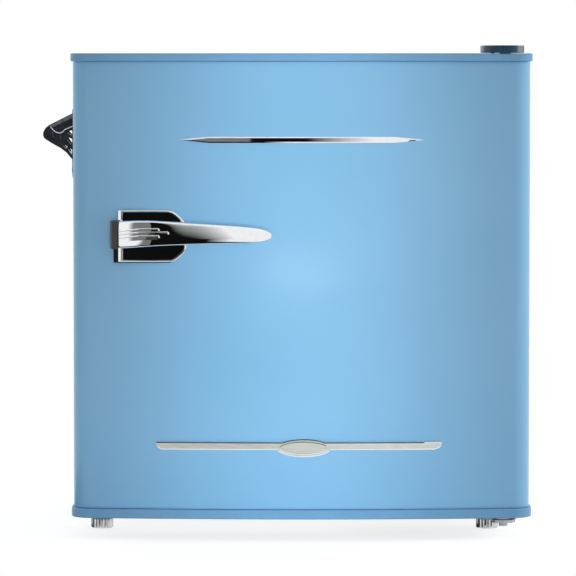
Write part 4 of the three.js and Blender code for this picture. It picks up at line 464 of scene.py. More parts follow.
# %% The plated base
rim_back = PULL_FRONT + LEAN
pull_base = pull_outline(rim_back)
pull(y=door_face((PULL_LEFT + PULL_RIGHT) / 2) - 2 - rim_back)
pick(lambda middle: middle.y < rim_back + 0.1, "FACE")
inset(SLOPE)
move(y=-LEAN)
inset(RIM - SLOPE)
pull(y=FLOOR)
pick(lambda corner: PULL_LEFT + 0.5 < corner.x < PULL_LEFT + RIM + 0.6)
move(x=BAND - RIM)
# the slope: a cut down the band, brought to the front, and the band's left edge set back
select_all()
crease = at(CREASE, PULL_FRONT, 0)
bpy.ops.mesh.bisect(plane_co=crease, plane_no=(1, 0, 0))
pick(lambda corner: abs(corner.x - CREASE) < 0.1 and corner.y < PULL_FRONT + 0.7 * LEAN)
bpy.ops.transform.resize(value=(1, 0, 1), center_override=crease)
pick(lambda corner: corner.x < PULL_LEFT + 0.1 and corner.y < rim_back + 0.1)
move(y=0.6)
close_piece(pull_base, "pull_base_casting", "door", smooth=20)
soften(pull_base, 0.3, 2, angle=22)
done(pull_base, "handle_base")

# %% The rubber pad behind it
# The pad reaches past the casting on the left and a little below, as a dark rim; below, it is
# painted shadow.
pad_low, pad_high = drawn("handle_pad")
PAD_STEP = LEVER_AXIS - 12  # below this it reaches further left
# the drop at the bottom is painted shadow: a black strip where shade falls under the casting
PAD_EDGE, PAD_SHADOW_DROP = 1.0, 2.2  # set in at the edges, and let down at the bottom
pad = pull_outline(pad_low.y, PAD_EDGE, PAD_EDGE)
pull(y=pad_high.y - pad_low.y)
pick(lambda corner: corner.z < PULL_BOTTOM + 2)
move(z=-PAD_SHADOW_DROP)
select_all()
bpy.ops.mesh.bisect(plane_co=at(0, 0, PAD_STEP), plane_no=(0, 0, 1))
pick(lambda middle: middle.x < PULL_LEFT + PAD_EDGE + 0.1 and middle.z < PAD_STEP, "FACE")
pull(x=pad_low.x - PULL_LEFT - PAD_EDGE)
close_piece(pad, "pull_rubber_pad", "door")
done(pad, "handle_pad")

# %% The black panel
PANEL_GAP = 0.25
panel = pull_outline(PULL_FRONT + 0.9, RIM + PANEL_GAP, BAND + PANEL_GAP)
pull(y=1.1)
close_piece(panel, "pull_black_panel", "door")
soften(panel, 0.3, 1)
done(panel, "handle_insert")

# %% [markdown]
# ## The knuckle
#
# The lever seems to swing on a dark knuckle that wraps round its left end. Its plan is drawn with
# the pen, with a long arc on the left, and pulled to its height.

# %% A dark block with a round side
knuckle_low, knuckle_high = drawn("handle_knuckle")
KNUCKLE_WIDTH, BULGE = 8.6, 2.2
KNUCKLE_Z = knuckle_low.z + 0.9
bulge_left = knuckle_high.x - KNUCKLE_WIDTH
bulge_reach = (knuckle_high.y - knuckle_low.y) / 2
bulge_radius = (bulge_reach ** 2 + BULGE ** 2) / (2 * BULGE)
knuckle = pen_down(at(knuckle_high.x, knuckle_high.y, KNUCKLE_Z))
line_to(at(bulge_left + BULGE, knuckle_high.y, KNUCKLE_Z))
swing(at(bulge_left + bulge_radius, knuckle_high.y - bulge_reach, KNUCKLE_Z),
      2 * math.degrees(math.asin(bulge_reach / bulge_radius)), 12)
line_to(at(knuckle_high.x, knuckle_low.y, KNUCKLE_Z))
close_outline()
pull(z=knuckle_high.z - 0.6 - KNUCKLE_Z)
close_piece(knuckle, "pull_knuckle", "door")
soften(knuckle, 1.3, 3, angle=50)
done(knuckle, "handle_knuckle")

# %% [markdown]
# ## The lever
#
# The lever is die-cast and plated. From the front it is full at the root and tapers to a round
# tip; from above it bows back to the door. Chrome shows every dent, so its shape is lofted: one
# crowned section is drawn, pulled along from station to station, and scaled at each. Subdivision
# then draws one smooth surface through all of them.

# %% Stations along the lever
LEVER_FRONT = knuckle_low.y - 2.75  # the lever's foremost line
ROOT = PULL_LEFT + 1.4  # its left end
# right of the root, below and above the axis, front, back (from the foremost line)
STATIONS = [
    (0.0, -14.4, 12.9, 2.6, 14.6),
    (5.0, -14.3, 13.5, 1.0, 14.2),
    (16.0, -13.6, 14.0, -0.1, 13.6),
    (32.0, -12.3, 14.0, -0.4, 13.0),
    (50.0, -11.3, 13.0, 0.1, 12.9),
    (68.0, -10.8, 11.7, 1.2, 12.8),
    (88.0, -10.0, 10.4, 2.4, 12.8),
    (108.0, -9.5, 9.0, 3.9, 12.9),
    (126.0, -9.2, 7.6, 5.8, 13.2),
    (139.0, -8.6, 6.2, 7.9, 13.7),
    (147.0, -6.9, 3.9, 9.8, 14.2),
    (151.2, -4.8, 1.4, 11.2, 14.5),
]
# height and depth of a section's corners, as shares of its half height and depth
SECTION = [(-0.72, 1.0), (-1.0, 0.72), (-1.0, 0.3), (-0.95, 0.07), (-0.78, 0.025), (-0.4, 0.005),
           (0.0, 0.0), (0.4, 0.005), (0.78, 0.025), (0.95, 0.07), (1.0, 0.3), (1.0, 0.72),
           (0.72, 1.0)]


def section_place(station, corner=(0.0, 0.5)):
    """A point of a station's section."""
    along, low, high, front, back = station
    rise, depth = corner
    return at(ROOT + along, LEVER_FRONT + front + depth * (back - front),
              LEVER_AXIS + (low + high) / 2 + rise * (high - low) / 2)


def next_section(before, after):
    """Pulls the end section to the next station and scales it to that station's size."""
    extrude(section_place(after) - section_place(before))
    deep = (after[4] - after[3]) / (before[4] - before[3])
    high = (after[2] - after[1]) / (before[2] - before[1])
    bpy.ops.transform.resize(value=(1, deep, high), center_override=section_place(after))


lever = draw([section_place(STATIONS[0], corner) for corner in SECTION])
for before, after in zip(STATIONS, STATIONS[1:]):
    next_section(before, after)
close_piece(lever, "cast_lever", "door", smooth=60)
take_up(lever)
pick(lambda middle: middle.x < ROOT + 0.1, "FACE")
inset(0.8)
pick(lambda middle: middle.x > ROOT + STATIONS[-1][0] - 0.1, "FACE")
inset(1.0)
move(x=1.2)
mode("OBJECT")
apply_modifier(lever, "SUBSURF", levels=2, render_levels=2)
bpy.ops.object.shade_smooth()
done(lever, "handle_lever")

# %% [markdown]
# The lever stands on a post cast with it, and three speed lines are raised on its root, the
# middle one longer, each with a small hook at its end. They are wires that lie half sunk in the
# surface. A ring is pulled along straight runs and swung round bends, and this is also how the
# shelf and the pipes are made.

# %% A ring drawn into a wire
def wire(points, bend, radius, name, body, sides=10, steps=5, closed=False):
    """A round wire through points in the drawing's millimetres, with bends of one radius."""
    places = [at(*point) for point in points]
    runs = [(after - before).normalized() for before, after in zip(places, places[1:])]
    turn = Vector((0, 0, 1)).rotation_difference(runs[0]).to_euler()
    piece = begin("circle", vertices=sides, radius=radius * MM, location=places[0], rotation=turn)
    select_all()
    here = places[0]
    for run, after, corner in zip(runs, runs[1:], places[1:]):
        angle = run.angle(after)
        if angle < 1e-4:
            continue
        start = corner - run * (bend * MM * math.tan(angle / 2))
        extrude(start - here)
        inward = (after - run * math.cos(angle)).normalized()
        axis = run.cross(after).normalized()
        swing(start + inward * bend * MM, math.degrees(angle), steps, axis)
        here = corner + after * (bend * MM * math.tan(angle / 2))
    extrude(places[-1] - here)
    select_all()
    if closed:
        weld(0.02)
    else:
        bpy.ops.mesh.fill_holes(sides=0)
    close_piece(piece, name, body, smooth=50)
    return piece


# %% The post and the speed lines
POST_WIDTH, POST_HEIGHT = 29, 15
post_y = (PULL_FRONT + LEVER_FRONT + 12) / 2
post = begin("cube", size=1, location=at(ROOT + 19, post_y, LEVER_AXIS),
             scale=(POST_WIDTH * MM, (PULL_FRONT - LEVER_FRONT - 11) * MM, POST_HEIGHT * MM))
pick(lambda middle: middle.y > PULL_FRONT - 1, "FACE")
bpy.ops.transform.resize(value=(1.1, 1, 1.15))
close_piece(post, "lever_post", "door")
soften(post, 2.2, 3)
done(post)


def lever_surface(along):
    """How far behind the foremost line the lever's face lies, at a place along it."""
    for before, after in zip(STATIONS, STATIONS[1:]):
        if along <= after[0]:
            share = (along - before[0]) / (after[0] - before[0])
            return before[3] + share * (after[3] - before[3])
    return STATIONS[-1][3]


for number, (rise, length) in enumerate([(5.4, 40.4), (2.1, 49.8), (-1.4, 40.4)], start=1):
    z = LEVER_AXIS + rise
    run = [(ROOT + along, LEVER_FRONT + lever_surface(along) + 0.4, z + dip)
           for along, dip in ((0.4, -2.6), (8, -1.3), (20, -0.2), (length, 0))]
    run.append((ROOT + length, run[-1][1], z - 1.9))
    done(wire(run, 1.1, 0.9, f"speed_line_{number}", "door", steps=4))

# %% [markdown]
# ## Trim on the door
#
# The lower trim is a slim strip of brushed metal that follows the door's bow. It widens in its
# middle to an oval, its lower edge is a polished bevel, and its lower corners are round. A flat
# outline wouldn't touch the bowed door. So the outline is drawn flat in front of the door, cut
# into narrow upright bands, and each band's corners are moved back by the bow's depth there.

# %% Laying a flat piece on the bow
BOW_BAND = 6  # widest band


def lay_on_bow(piece):
    """Cuts a flat piece into bands and moves each corner back to the bowed face."""
    places = [corner.co.x for corner in piece.data.vertices]
    low, high = min(places), max(places)
    bands = int((high - low) / (BOW_BAND * MM)) + 1
    mode("EDIT")
    for step in range(1, bands):
        select_all()
        bpy.ops.mesh.bisect(plane_co=(low + step * (high - low) / bands, 0, 0),
                            plane_no=(1, 0, 0))
    mesh = bmesh.from_edit_mesh(piece.data)
    for corner in mesh.verts:
        corner.co.y += (door_face(measured(corner.co).x) - CROWN) * MM
    bmesh.update_edit_mesh(piece.data)
    mode("OBJECT")


def on_face(points, out, bevel, name, node):
    """A plate with a bevelled front rim, laid on the door's face."""
    back = CROWN - 0.3
    plate = draw([at(x, back, z) for x, z in points])
    pull(y=-out)
    close_piece(plate, name, "door")
    mode("EDIT")
    pick(lambda middle: middle.y < back - out + 0.05, "FACE")
    inset(bevel)
    move(y=-bevel * 0.55)
    mode("OBJECT")
    lay_on_bow(plate)
    shade(18)
    done(plate, node)


def arc(centre, radii, first, last, steps):
    """Points on an ellipse's arc, in degrees."""
    angles = [math.radians(first + (last - first) * i / steps) for i in range(steps + 1)]
    return [(centre[0] + radii[0] * math.cos(a), centre[1] + radii[1] * math.sin(a))
            for a in angles]


# %% The lower strip
strip_low, strip_high = drawn("trim_strip")
medal_low, medal_high = drawn("trim_medallion")
STRIP_BOTTOM = 91.8
STRIP_TOP = STRIP_BOTTOM + 7.5
CORNER_RISE = 6.6  # height of its round lower corners
MEDAL = ((medal_low.x + medal_high.x) / 2, (medal_low.z + medal_high.z) / 2)
OVAL = (27.4, 8.95)
lower_cut = math.degrees(math.asin((STRIP_BOTTOM - MEDAL[1]) / OVAL[1]))
upper_cut = math.degrees(math.asin((STRIP_TOP - MEDAL[1]) / OVAL[1]))
outline = [(strip_low.x, STRIP_TOP)]
outline += arc((strip_low.x + 8, STRIP_BOTTOM + CORNER_RISE), (8, CORNER_RISE), 180, 270, 7)
outline += arc(MEDAL, OVAL, 180 - lower_cut, 360 + lower_cut, 26)
outline += arc((strip_high.x - 9, STRIP_BOTTOM + CORNER_RISE), (9, CORNER_RISE), 270, 360, 7)
outline += [(strip_high.x, STRIP_TOP)]
outline += arc(MEDAL, OVAL, upper_cut, 180 - upper_cut, 14)
on_face(outline, 1.3, 0.85, "bevelled_trim_strip", "trim_strip")

# %% The oval boss, and the upper bar with its pointed ends
on_face(arc(MEDAL, (OVAL[0] - 2.6, OVAL[1] - 2.4), 0, 352, 44), 2.2, 0.6, "trim_boss",
        "trim_medallion")
bar_low, bar_high = drawn("upper_trim")
bar_z = (bar_low.z + bar_high.z) / 2
POINT = 30  # length of each pointed end
on_face([(bar_low.x, bar_z), (bar_low.x + POINT, bar_low.z), (bar_high.x - POINT, bar_low.z),
         (bar_high.x, bar_z), (bar_high.x - POINT, bar_high.z), (bar_low.x + POINT, bar_high.z)],
        1.2, 1.1, "upper_trim_bar", "upper_trim")

# %% [markdown]
# ## Levelling feet
#
# The front feet are moulded round a screwed stud and fluted for the fingers that turn them. Every
# third corner of a disc is pulled in, the disc is pulled up, and its rims are rounded.

# %% One fluted foot, then its copy
def copy_of(piece, name, body, x=0.0, y=0.0):
    """Copies a piece with a mesh of its own and moves the copy's corners by millimetres."""
    mesh = piece.data.copy()
    mesh.name = name
    mesh.transform(Matrix.Translation((x * MM, y * MM, 0)))
    twin = bpy.data.objects.new(name, mesh)
    bpy.context.scene.collection.objects.link(twin)
    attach(twin, body)
    return twin


foot_low, foot_high = drawn("left_front_foot")
right_low, right_high = drawn("right_front_foot")
FOOT_X, FOOT_Y = (foot_low.x + foot_high.x) / 2, (foot_low.y + foot_high.y) / 2
RIGHT_FOOT_X = (right_low.x + right_high.x) / 2
FLUTES = 20
PAD_HEIGHT, FOOT_SOLE, SOLE_STEP = 11, 1.45, 1.4
BOLT_RADIUS, BOLT_LENGTH = 4, 30
foot = begin("circle", vertices=3 * FLUTES, radius=(foot_high.x - foot_low.x) / 2 * MM,
             fill_type="NGON", location=at(FOOT_X, FOOT_Y, FOOT_SOLE))
third = math.tau / (3 * FLUTES)
pick(lambda corner: round(math.atan2(corner.y - FOOT_Y, corner.x - FOOT_X) / third) % 3 == 0)
bpy.ops.transform.resize(value=(0.9, 0.9, 1), center_override=at(FOOT_X, FOOT_Y, 0))
select_all()
pull(z=PAD_HEIGHT - 2 * SOLE_STEP)
inset(1.3)
move(z=SOLE_STEP)
pick(lambda middle: middle.z < FOOT_SOLE + 0.1, "FACE")
inset(1.3)
move(z=-SOLE_STEP)
close_piece(foot, "left_fluted_foot", "left_foot", smooth=40)
soften(foot, 0.2, 2, angle=25)
mode("EDIT")
bpy.ops.mesh.select_all(action="DESELECT")
bpy.ops.mesh.primitive_cylinder_add(vertices=20, radius=BOLT_RADIUS * MM, depth=BOLT_LENGTH * MM,
                                    location=at(FOOT_X, FOOT_Y, PAD_HEIGHT + 14.6))
mode("OBJECT")
done(foot, "left_front_foot")
done(copy_of(foot, "right_fluted_foot", "right_foot", x=RIGHT_FOOT_X - FOOT_X),
     "right_front_foot")

# %% [markdown]
# ## Hinge cover
#
# A small moulded cap hides the upper hinge and its screws. Its outline follows the hinge plate:
# a round nose over the pin that widens to the part over the screws, bluntly on the inner side and
# with a long flank on the outer side. Drawn, pulled up and bevelled, then hollowed from below.

# %% The cover over the upper hinge
cover_low, cover_high = drawn("top_hinge_cover")
pin_low, pin_high = drawn("top_hinge_bush")
PIN_X = (cover_low.x + cover_high.x) / 2
PIN_Y = (pin_low.y + pin_high.y) / 2
NOSE = PIN_Y - cover_low.y
COVER_LEFT = (cover_high.x - cover_low.x) / 2 - 1.2
COVER_RIGHT = (cover_high.x - cover_low.x) / 2 + 1.6
COVER_WALL, COVER_CORNER = 1.9, 4


def cover_outline(z, shrink=0.0):
    """Draws the cover's outline, made smaller by some millimetres."""
    left = PIN_X - COVER_LEFT + shrink
    right = PIN_X + COVER_RIGHT - shrink
    tip = NOSE - shrink
    back = cover_high.y - shrink
    corner = COVER_CORNER - shrink
    piece = pen_down(at(right, back - corner, z))
    swing(at(right - corner, back - corner, z), 90, 5)
    line_to(at(left + corner, back, z))
    swing(at(left + corner, back - corner, z), 90, 5)
    line_to(at(left, PIN_Y + 0.35 * NOSE, z))
    line_to(at(PIN_X - tip * 0.8, PIN_Y - tip * 0.6, z))
    swing(at(PIN_X, PIN_Y, z), 90 + math.degrees(math.asin(0.8)), 13)
    line_to(at(PIN_X + tip, PIN_Y + tip, z))
    line_to(at(right, 2, z))
    close_outline()
    return piece


cover = cover_outline(cover_low.z)
pull(z=cover_high.z - cover_low.z)
close_piece(cover, "moulded_hinge_cover", "cabinet")
soften(cover, 1.2, 3, angle=40)
hollow = cover_outline(cover_low.z - 2, COVER_WALL)
pull(z=cover_high.z - cover_low.z + 0.4)
select_all()
bpy.ops.mesh.normals_make_consistent(inside=False)
cut_away(cover, hollow)
done(cover, "top_hinge_cover")

# %% [markdown]
# ## Bottle opener
#
# The opener is a zinc die casting under black chrome: a wall plate with a raised rim, and a
# hollow horn whose cheeks are pierced by windows. The horn's outline is drawn once, as the caster
# would cut the pattern, and pulled across. Its hollow, its mouth and its windows are cut out, and
# the small bevels on every edge are what catches the light.

# %% Sizes on the opener: out from the cabinet and down from the top of the horn
opener_low, opener_high = drawn("bottle_opener")
OPENER_FACE, OPENER_TOP = opener_high.x, opener_high.z - 2
OPENER_FRONT, OPENER_REAR = opener_low.y, opener_high.y
HORN = [(0, 0.4), (28.2, 14.6), (32, 18), (33.8, 21.5), (34.2, 24.6), (33.3, 27.4), (30.8, 29.5),
        (24.3, 33.6), (16.4, 37.9), (10.2, 42.6), (6, 47.8), (3.6, 50), (0, 51)]
# what is cut out of it, with the margin that each cut leaves at both cheeks
CUTS = {
    "hollow": (4.2, [(3, 8), (24, 18.4), (29, 23), (27, 26.6), (15, 33.4), (8, 39), (3, 45)]),
    "mouth": (9, [(7, 24), (26, 24), (26, 60), (7, 60)]),
    "upper window": (-5, [(9.1, 21.4), (3.6, 19.5), (2, 19.3), (2, 25.4), (3.6, 25.4),
                          (7.8, 23.3)]),
    "lower window": (-5, [(9.5, 28.8), (8, 26.9), (5.6, 28), (3.6, 30), (2, 30.4), (2, 35),
                          (3.6, 34.8), (6.5, 33.2)]),
    "slot": (-5, [(14.9, 34.8), (13.8, 34), (9.2, 36.4), (9.2, 38.2), (11.2, 37.9)]),
    "heel window": (-5, [(8.4, 39), (6, 38.4), (4, 40.6), (3.8, 45), (5, 45), (6.6, 42.4)]),
}


def on_cheek(points, y):
    """Out and down sizes as points in the drawing, some way behind the front cheek."""
    return [(OPENER_FACE - out, OPENER_FRONT + y, OPENER_TOP - down) for out, down in points]


def side_outline(points, y, depth):
    """Draws an outline seen from the front and pulls it back."""
    piece = draw([at(*point) for point in on_cheek(points, y)])
    pull(y=depth)
    select_all()
    bpy.ops.mesh.normals_make_consistent(inside=False)
    return piece


# %% The horn
width = OPENER_REAR - OPENER_FRONT
horn = side_outline(HORN, 0.8, width - 1.6)
for margin, outline in CUTS.values():
    cut_away(horn, side_outline(outline, margin, width - 2 * margin))
take_up(horn)
# its facets are flat, as cut, so no edge is marked as sharp
close_piece(horn, "opener_horn", "cabinet", smooth=180)
bpy.ops.object.shade_flat()
soften(horn, 0.35, 2, angle=28)
done(horn, "bottle_opener")

# %% [markdown]
# Two slim bands lie on the front cheek along the slope, one on the other, and a bead runs round
# the horn's throat, in bright chrome as a painted highlight. The plate behind has a raised border,
# so its screws sit in a recess.

# %% Bands, bead and ribs
band = side_outline([(0.4, 1.4), (27.6, 15.2), (25.6, 17.4), (23, 19), (19, 18.7), (13, 16.9),
                     (0.4, 12.6)], 0.1, 1.2)
close_piece(band, "opener_band", "cabinet")
soften(band, 0.4, 2)
done(band)
RIDGE = [(0.4, 1.6), (27, 15), (26.2, 16.4), (23.4, 16.4), (0.4, 5.6)]
ridge = side_outline(RIDGE, -1.7, 2.1)
# its upper front edge is set back, so that its face leans up to the light
slope = (RIDGE[1][1] - RIDGE[0][1]) / (RIDGE[1][0] - RIDGE[0][0])
pick(lambda corner: corner.y < OPENER_FRONT - 1.6 and
     OPENER_TOP - corner.z < 2.4 + slope * (OPENER_FACE - corner.x))
move(y=1.5)
close_piece(ridge, "opener_ridge", "cabinet")
soften(ridge, 0.4, 2)
done(ridge)

throat = [(26.6, 15.4), (24.2, 18.8), (21.4, 21.4), (17.6, 22.6), (14.2, 21.8), (11.8, 19.2),
          (3.4, 15.6)]
done(wire(on_cheek(throat, 0.6), 1.6, 0.65, "opener_bead", "cabinet", steps=4))
for number, run in enumerate([((24.4, 21.8), (23, 27.2)), ((16.2, 24.2), (15.2, 29))], start=1):
    done(wire(on_cheek(run, 0.7), 1, 0.75, f"opener_rib_{number}", "cabinet",
              sides=12))

# %% The plate
def round_rectangle(place, low, high, radius, steps, axis=(0, 0, 1)):
    """Draws a filled rectangle round the centres of its four corners, which are arcs."""
    (left, bottom), (right, top) = low, high
    piece = pen_down(place(left, bottom - radius))
    for end, centre in (((right, bottom - radius), (right, bottom)),
                        ((right + radius, top), (right, top)),
                        ((left, top + radius), (left, top)),
                        ((left - radius, bottom), (left, bottom))):
        line_to(place(*end))
        swing(place(*centre), 90, steps, axis)
    close_outline()
    return piece


ROUND, BORDER = 8, 5  # radius of the plate's corners, width of its border
plate = round_rectangle(lambda y, z: at(OPENER_FACE, y, z),
                        (OPENER_FRONT + ROUND, opener_low.z + ROUND),
                        (OPENER_REAR - ROUND, opener_high.z - ROUND), ROUND, 7, axis=(1, 0, 0))
pull(x=-4.4)
inset(BORDER)
move(x=1.4)
close_piece(plate, "opener_plate", "cabinet")
soften(plate, 0.6, 2)
done(plate)

# %% [markdown]
# ## Compressor and pipes
#
# The compressor is two deep-drawn steel cups welded at a flange and dipped in black enamel. Its
# half section is drawn and spun round the upright axis, then stretched to an oval. The pipes are
# copper tube, bent on a former, so each is one wire with bends of one radius.

# %% The compressor's shell
def turned(profile, foot, steps):
    """Spins a half section, in reach and rise from its foot, round its upright axis."""
    x, y, z = foot
    piece = trace([at(x + reach, y, z + rise) for reach, rise in profile])
    select_all()
    swing(at(x, y, z), 360, steps)
    select_all()
    weld(0.02)
    return piece


SHELL = (62, 308, 33.6)  # its lowest point
SHELL_RADIUS, SHELL_HEIGHT, STRETCH = 52, 112, 1.22
SEAM = SHELL_HEIGHT * 0.52
WALL = SHELL_RADIUS - 2
turns = [math.radians(7.5 * step) for step in range(12)]
section = [(WALL * math.sin(turn), SEAM * (1 - math.cos(turn) ** 0.8)) for turn in turns]
section += [(SHELL_RADIUS - 1.6, SEAM - 3), (SHELL_RADIUS, SEAM - 2), (SHELL_RADIUS, SEAM + 2),
            (SHELL_RADIUS - 1.6, SEAM + 3)]
section += [(WALL * math.sin(turn), SEAM + (SHELL_HEIGHT - SEAM) * math.cos(turn) ** 0.7)
            for turn in reversed(turns)]
shell = turned(section, SHELL, 56)
bpy.ops.transform.resize(value=(STRETCH, 1, 1), center_override=at(*SHELL))
close_piece(shell, "compressor_shell", "cabinet", smooth=30)
done(shell, "compressor")

# %% Its feet
# A pressed plate under the shell, with a round corner over each grommet and a hole for its stud.
STUD_X, STUD_Y = 56, 42  # from the shell's axis
FEET_Z = 35.6
left, right = SHELL[0] - STUD_X, SHELL[0] + STUD_X
front, rear = SHELL[1] - STUD_Y, SHELL[1] + STUD_Y
feet = round_rectangle(lambda x, y: at(x, y, FEET_Z), (left, front), (right, rear), 9, 8)
pull(z=2.5)
close_piece(feet, "compressor_feet", "cabinet")
for x in (left, right):
    for y in (front, rear):
        cut_away(feet, rod(x, y, 31, 43, 3.3, 20))
soften(feet, 0.5, 2, angle=40)
done(feet)

# %% Copper pipes
PIPE_Y, PIPE_Z, PIPE_END = 330, 126, 224.1  # the condenser's plane, and where its coil ends
PIPE_DIP, RISER_X = 68, 158.1
SUCTION_Z, WALL_TOP = 109.6, 171.7  # the stub on the shell, and where pipes enter the foam
DRIER_X, DRIER_FOOT = -164.8, 32
SENSOR_Y, SENSOR_Z = 269.3, 404  # behind the chiller
for name, node, bend, radius, sides, steps, route in [
        ("discharge_pipe", "discharge_line", 10, 2.4, 16, 8,
         [(104, PIPE_Y, PIPE_Z), (RISER_X, PIPE_Y, PIPE_Z), (RISER_X, PIPE_Y, PIPE_DIP),
          (RISER_X + 36, PIPE_Y, PIPE_DIP), (RISER_X + 36, PIPE_Y, PIPE_Z),
          (PIPE_END, PIPE_Y, PIPE_Z)]),
        ("suction_pipe", "suction_line", 14, 3.2, 16, 8,
         [(20, SHELL[1], SUCTION_Z), (-46, SHELL[1], SUCTION_Z), (-46, SHELL[1], WALL_TOP)]),
        ("capillary_tube", "capillary", 6, 1.1, 12, 6,
         [(DRIER_X, PIPE_Y, DRIER_FOOT), (DRIER_X, PIPE_Y, 23.7), (-54, PIPE_Y, 23.7),
          (-54, PIPE_Y, WALL_TOP)]),
        ("sensor_tube", "sensing_tube", 10, 1.3, 12, 6,
         [(180.5, SENSOR_Y - 30, SENSOR_Z), (180.5, SENSOR_Y, SENSOR_Z),
          (21.6, SENSOR_Y, SENSOR_Z)]),
        ("drier_elbow", None, 10, 2.4, 16, 8,
         [(DRIER_X, PIPE_Y, 108), (DRIER_X, PIPE_Y, PIPE_Z), (-PIPE_END, PIPE_Y, PIPE_Z)])]:
    done(wire(route, bend, radius, name, "cabinet", sides, steps), node)

# %% The filter drier
# A capsule spun from copper tube: its ends are closed down on the pipes in smooth shoulders.
capsule = [(0, 0), (1.5, 0.2), (1.5, 9), (2.6, 12), (6.2, 17), (8.3, 20.5), (9, 24), (9, 64),
           (8.3, 67), (6.2, 71), (3.4, 75.5), (2.7, 79), (2.7, 82), (0, 82)]
drier = turned(capsule, (DRIER_X, PIPE_Y, DRIER_FOOT), 32)
close_piece(drier, "drier_capsule", "cabinet", smooth=40)
done(drier, "filter_drier")

# %% [markdown]
# ## Wire shelf
#
# The shelf is welded from bright-plated steel wire: a thick frame with round corners, two
# bearers, and thirteen thin wires laid over them. One thin wire is made and copied.

# %% Frame, bearers and wires
SHELF_Z, SHELF_HALF, SHELF_FRONT, SHELF_BACK = 230.9, 185.9, 99, 324.4
BEARER_Y, BEARER_GAP = 168, 87.4
PITCH, THIN_WIRES = 28, 13
loop = [(0, SHELF_FRONT), (SHELF_HALF, SHELF_FRONT), (SHELF_HALF, SHELF_BACK),
        (-SHELF_HALF, SHELF_BACK), (-SHELF_HALF, SHELF_FRONT), (0, SHELF_FRONT)]
done(wire([(x, y, SHELF_Z) for x, y in loop], 13, 2.6, "shelf_frame", "shelf", 16, 8,
          closed=True), "wire_shelf")
bearer = wire([(side * SHELF_HALF, BEARER_Y, SHELF_Z - 0.4) for side in (-1, 1)], 5, 2.0,
              "shelf_bearer_1", "shelf", sides=14)
copy_of(bearer, "shelf_bearer_2", "shelf", y=BEARER_GAP)
thin = wire([(-6 * PITCH, y, SHELF_Z + 0.9) for y in (SHELF_FRONT, SHELF_BACK)], 5, 1.5,
            "shelf_wire_1", "shelf", sides=12)
for number in range(2, THIN_WIRES + 1):
    copy_of(thin, f"shelf_wire_{number}", "shelf", x=(number - 1) * PITCH)
done(thin)

# %% [markdown]
# ## Rounding the mouldings
#
# Formed sheet and moulded plastic have no sharp edges. The inside pieces keep their exact shape,
# but a copy of each has its loose triangles merged into whole faces and its edges rounded by the
# radius that its process leaves.

# %% Softened copies
def softened_copy(node, name, body, slot, width):
    """Copies a frame node, merges the copy into whole faces and rounds its edges."""
    source = frame["nodes"][node]
    piece = copy_of(source, name, body)
    piece.data.transform(source.matrix_world)
    take_up(piece)
    select_all()
    weld(0.002)
    bpy.ops.mesh.dissolve_limited(angle_limit=math.radians(0.3))
    mode("OBJECT")
    soften(piece, width, angle=35)
    shade(32)
    done(piece, node)


for row in [("inner_liner", "formed_liner", "cabinet", "white_plastic", 0.9),
            ("door_liner", "formed_door_liner", "door", "white_plastic", 0.9),
            ("chiller_bezel", "moulded_bezel", "cabinet", "white_plastic", 0.5),
            ("thermostat_case", "moulded_thermostat", "cabinet", "white_plastic", 0.9),
            ("thermostat_knob", "moulded_knob", "knob", "grey_plastic", 0.5),
            ("drip_tray", "moulded_tray", "tray", "clear_plastic", 0.4),
            ("chiller_flap", "moulded_flap", "flap", "clear_plastic", 0.4),
            ("lower_bin_bar", "lower_bar", "door", "clear_plastic", 0.5),
            ("upper_bin_bar", "upper_bar", "door", "clear_plastic", 0.5),
            ("chiller_box", "folded_chiller_box", "cabinet", "aluminium", 0.3),
            ("starter_cover", "moulded_starter_cover", "cabinet", "black_plastic", 0.8),
            ("left_rear_foot", "left_moulded_foot", "cabinet", "black_plastic", 0.6),
            ("right_rear_foot", "right_moulded_foot", "cabinet", "black_plastic", 0.6),
            ("base_pan", "pressed_base_pan", "cabinet", "zinc", 0.3),
            ("top_hinge_bracket", "pressed_top_hinge", "cabinet", "zinc", 0.3),
            ("bottom_hinge_bracket", "pressed_bottom_hinge", "cabinet", "zinc", 0.3)]:
    softened_copy(*row)

# %% [markdown]
# # Finishes
#
# Every finish starts from the real material: what it is made of and how its surface was made. Its
# colour is written as on a paint card and turned to linear light once, and its pattern's size is
# written in millimetres and turned into a scale. Patterns read Object coordinates, so they stay on
# the piece when it moves.

# %% Colours, sizes and one function for all nodes
def paint_card(code):
    """Turns an sRGB hex colour into linear light."""
    parts = [int(code[i:i + 2], 16) / 255 for i in (1, 3, 5)]
    return [c / 12.92 if c <= 0.04045 else ((c + 0.055) / 1.055) ** 2.4 for c in parts] + [1.0]


def plug(node, *inputs, **values):
    """Fills or links sockets by order or name; a node given stands for its first output."""
    for name, value in [*enumerate(inputs), *values.items()]:
        if isinstance(name, str):
            name = int(name[1:]) if name[1:].isdigit() else name.replace("_", " ")
        if isinstance(value, bpy.types.Node):
            value = value.outputs[0]
        if isinstance(value, bpy.types.NodeSocket):
            node.id_data.links.new(value, node.inputs[name])
        else:
            node.inputs[name].default_value = value
    return node


def add(tree, kind, *inputs, **values):
    """Adds a node such as "Bump" or "Math.ADD" and plugs its sockets."""
    kind, _, setting = kind.partition(".")
    node = tree.nodes.new("ShaderNode" + kind)
    if setting:
        setattr(node, "data_type" if kind == "Mix" else "operation", setting)
    return plug(node, *inputs, **values)


def finish(name, **values):
    """A new material with its shader's plain values set, and its tree and Object coordinates."""
    material = bpy.data.materials.new(name)
    material.use_nodes = True
    tree = material.node_tree
    shader = plug(tree.nodes["Principled BSDF"], **values)
    return material, tree, shader, add(tree, "TexCoord").outputs["Object"]


def per_metre(size):
    """The texture scale whose features are about this many millimetres wide."""
    return 1 / (size * MM)


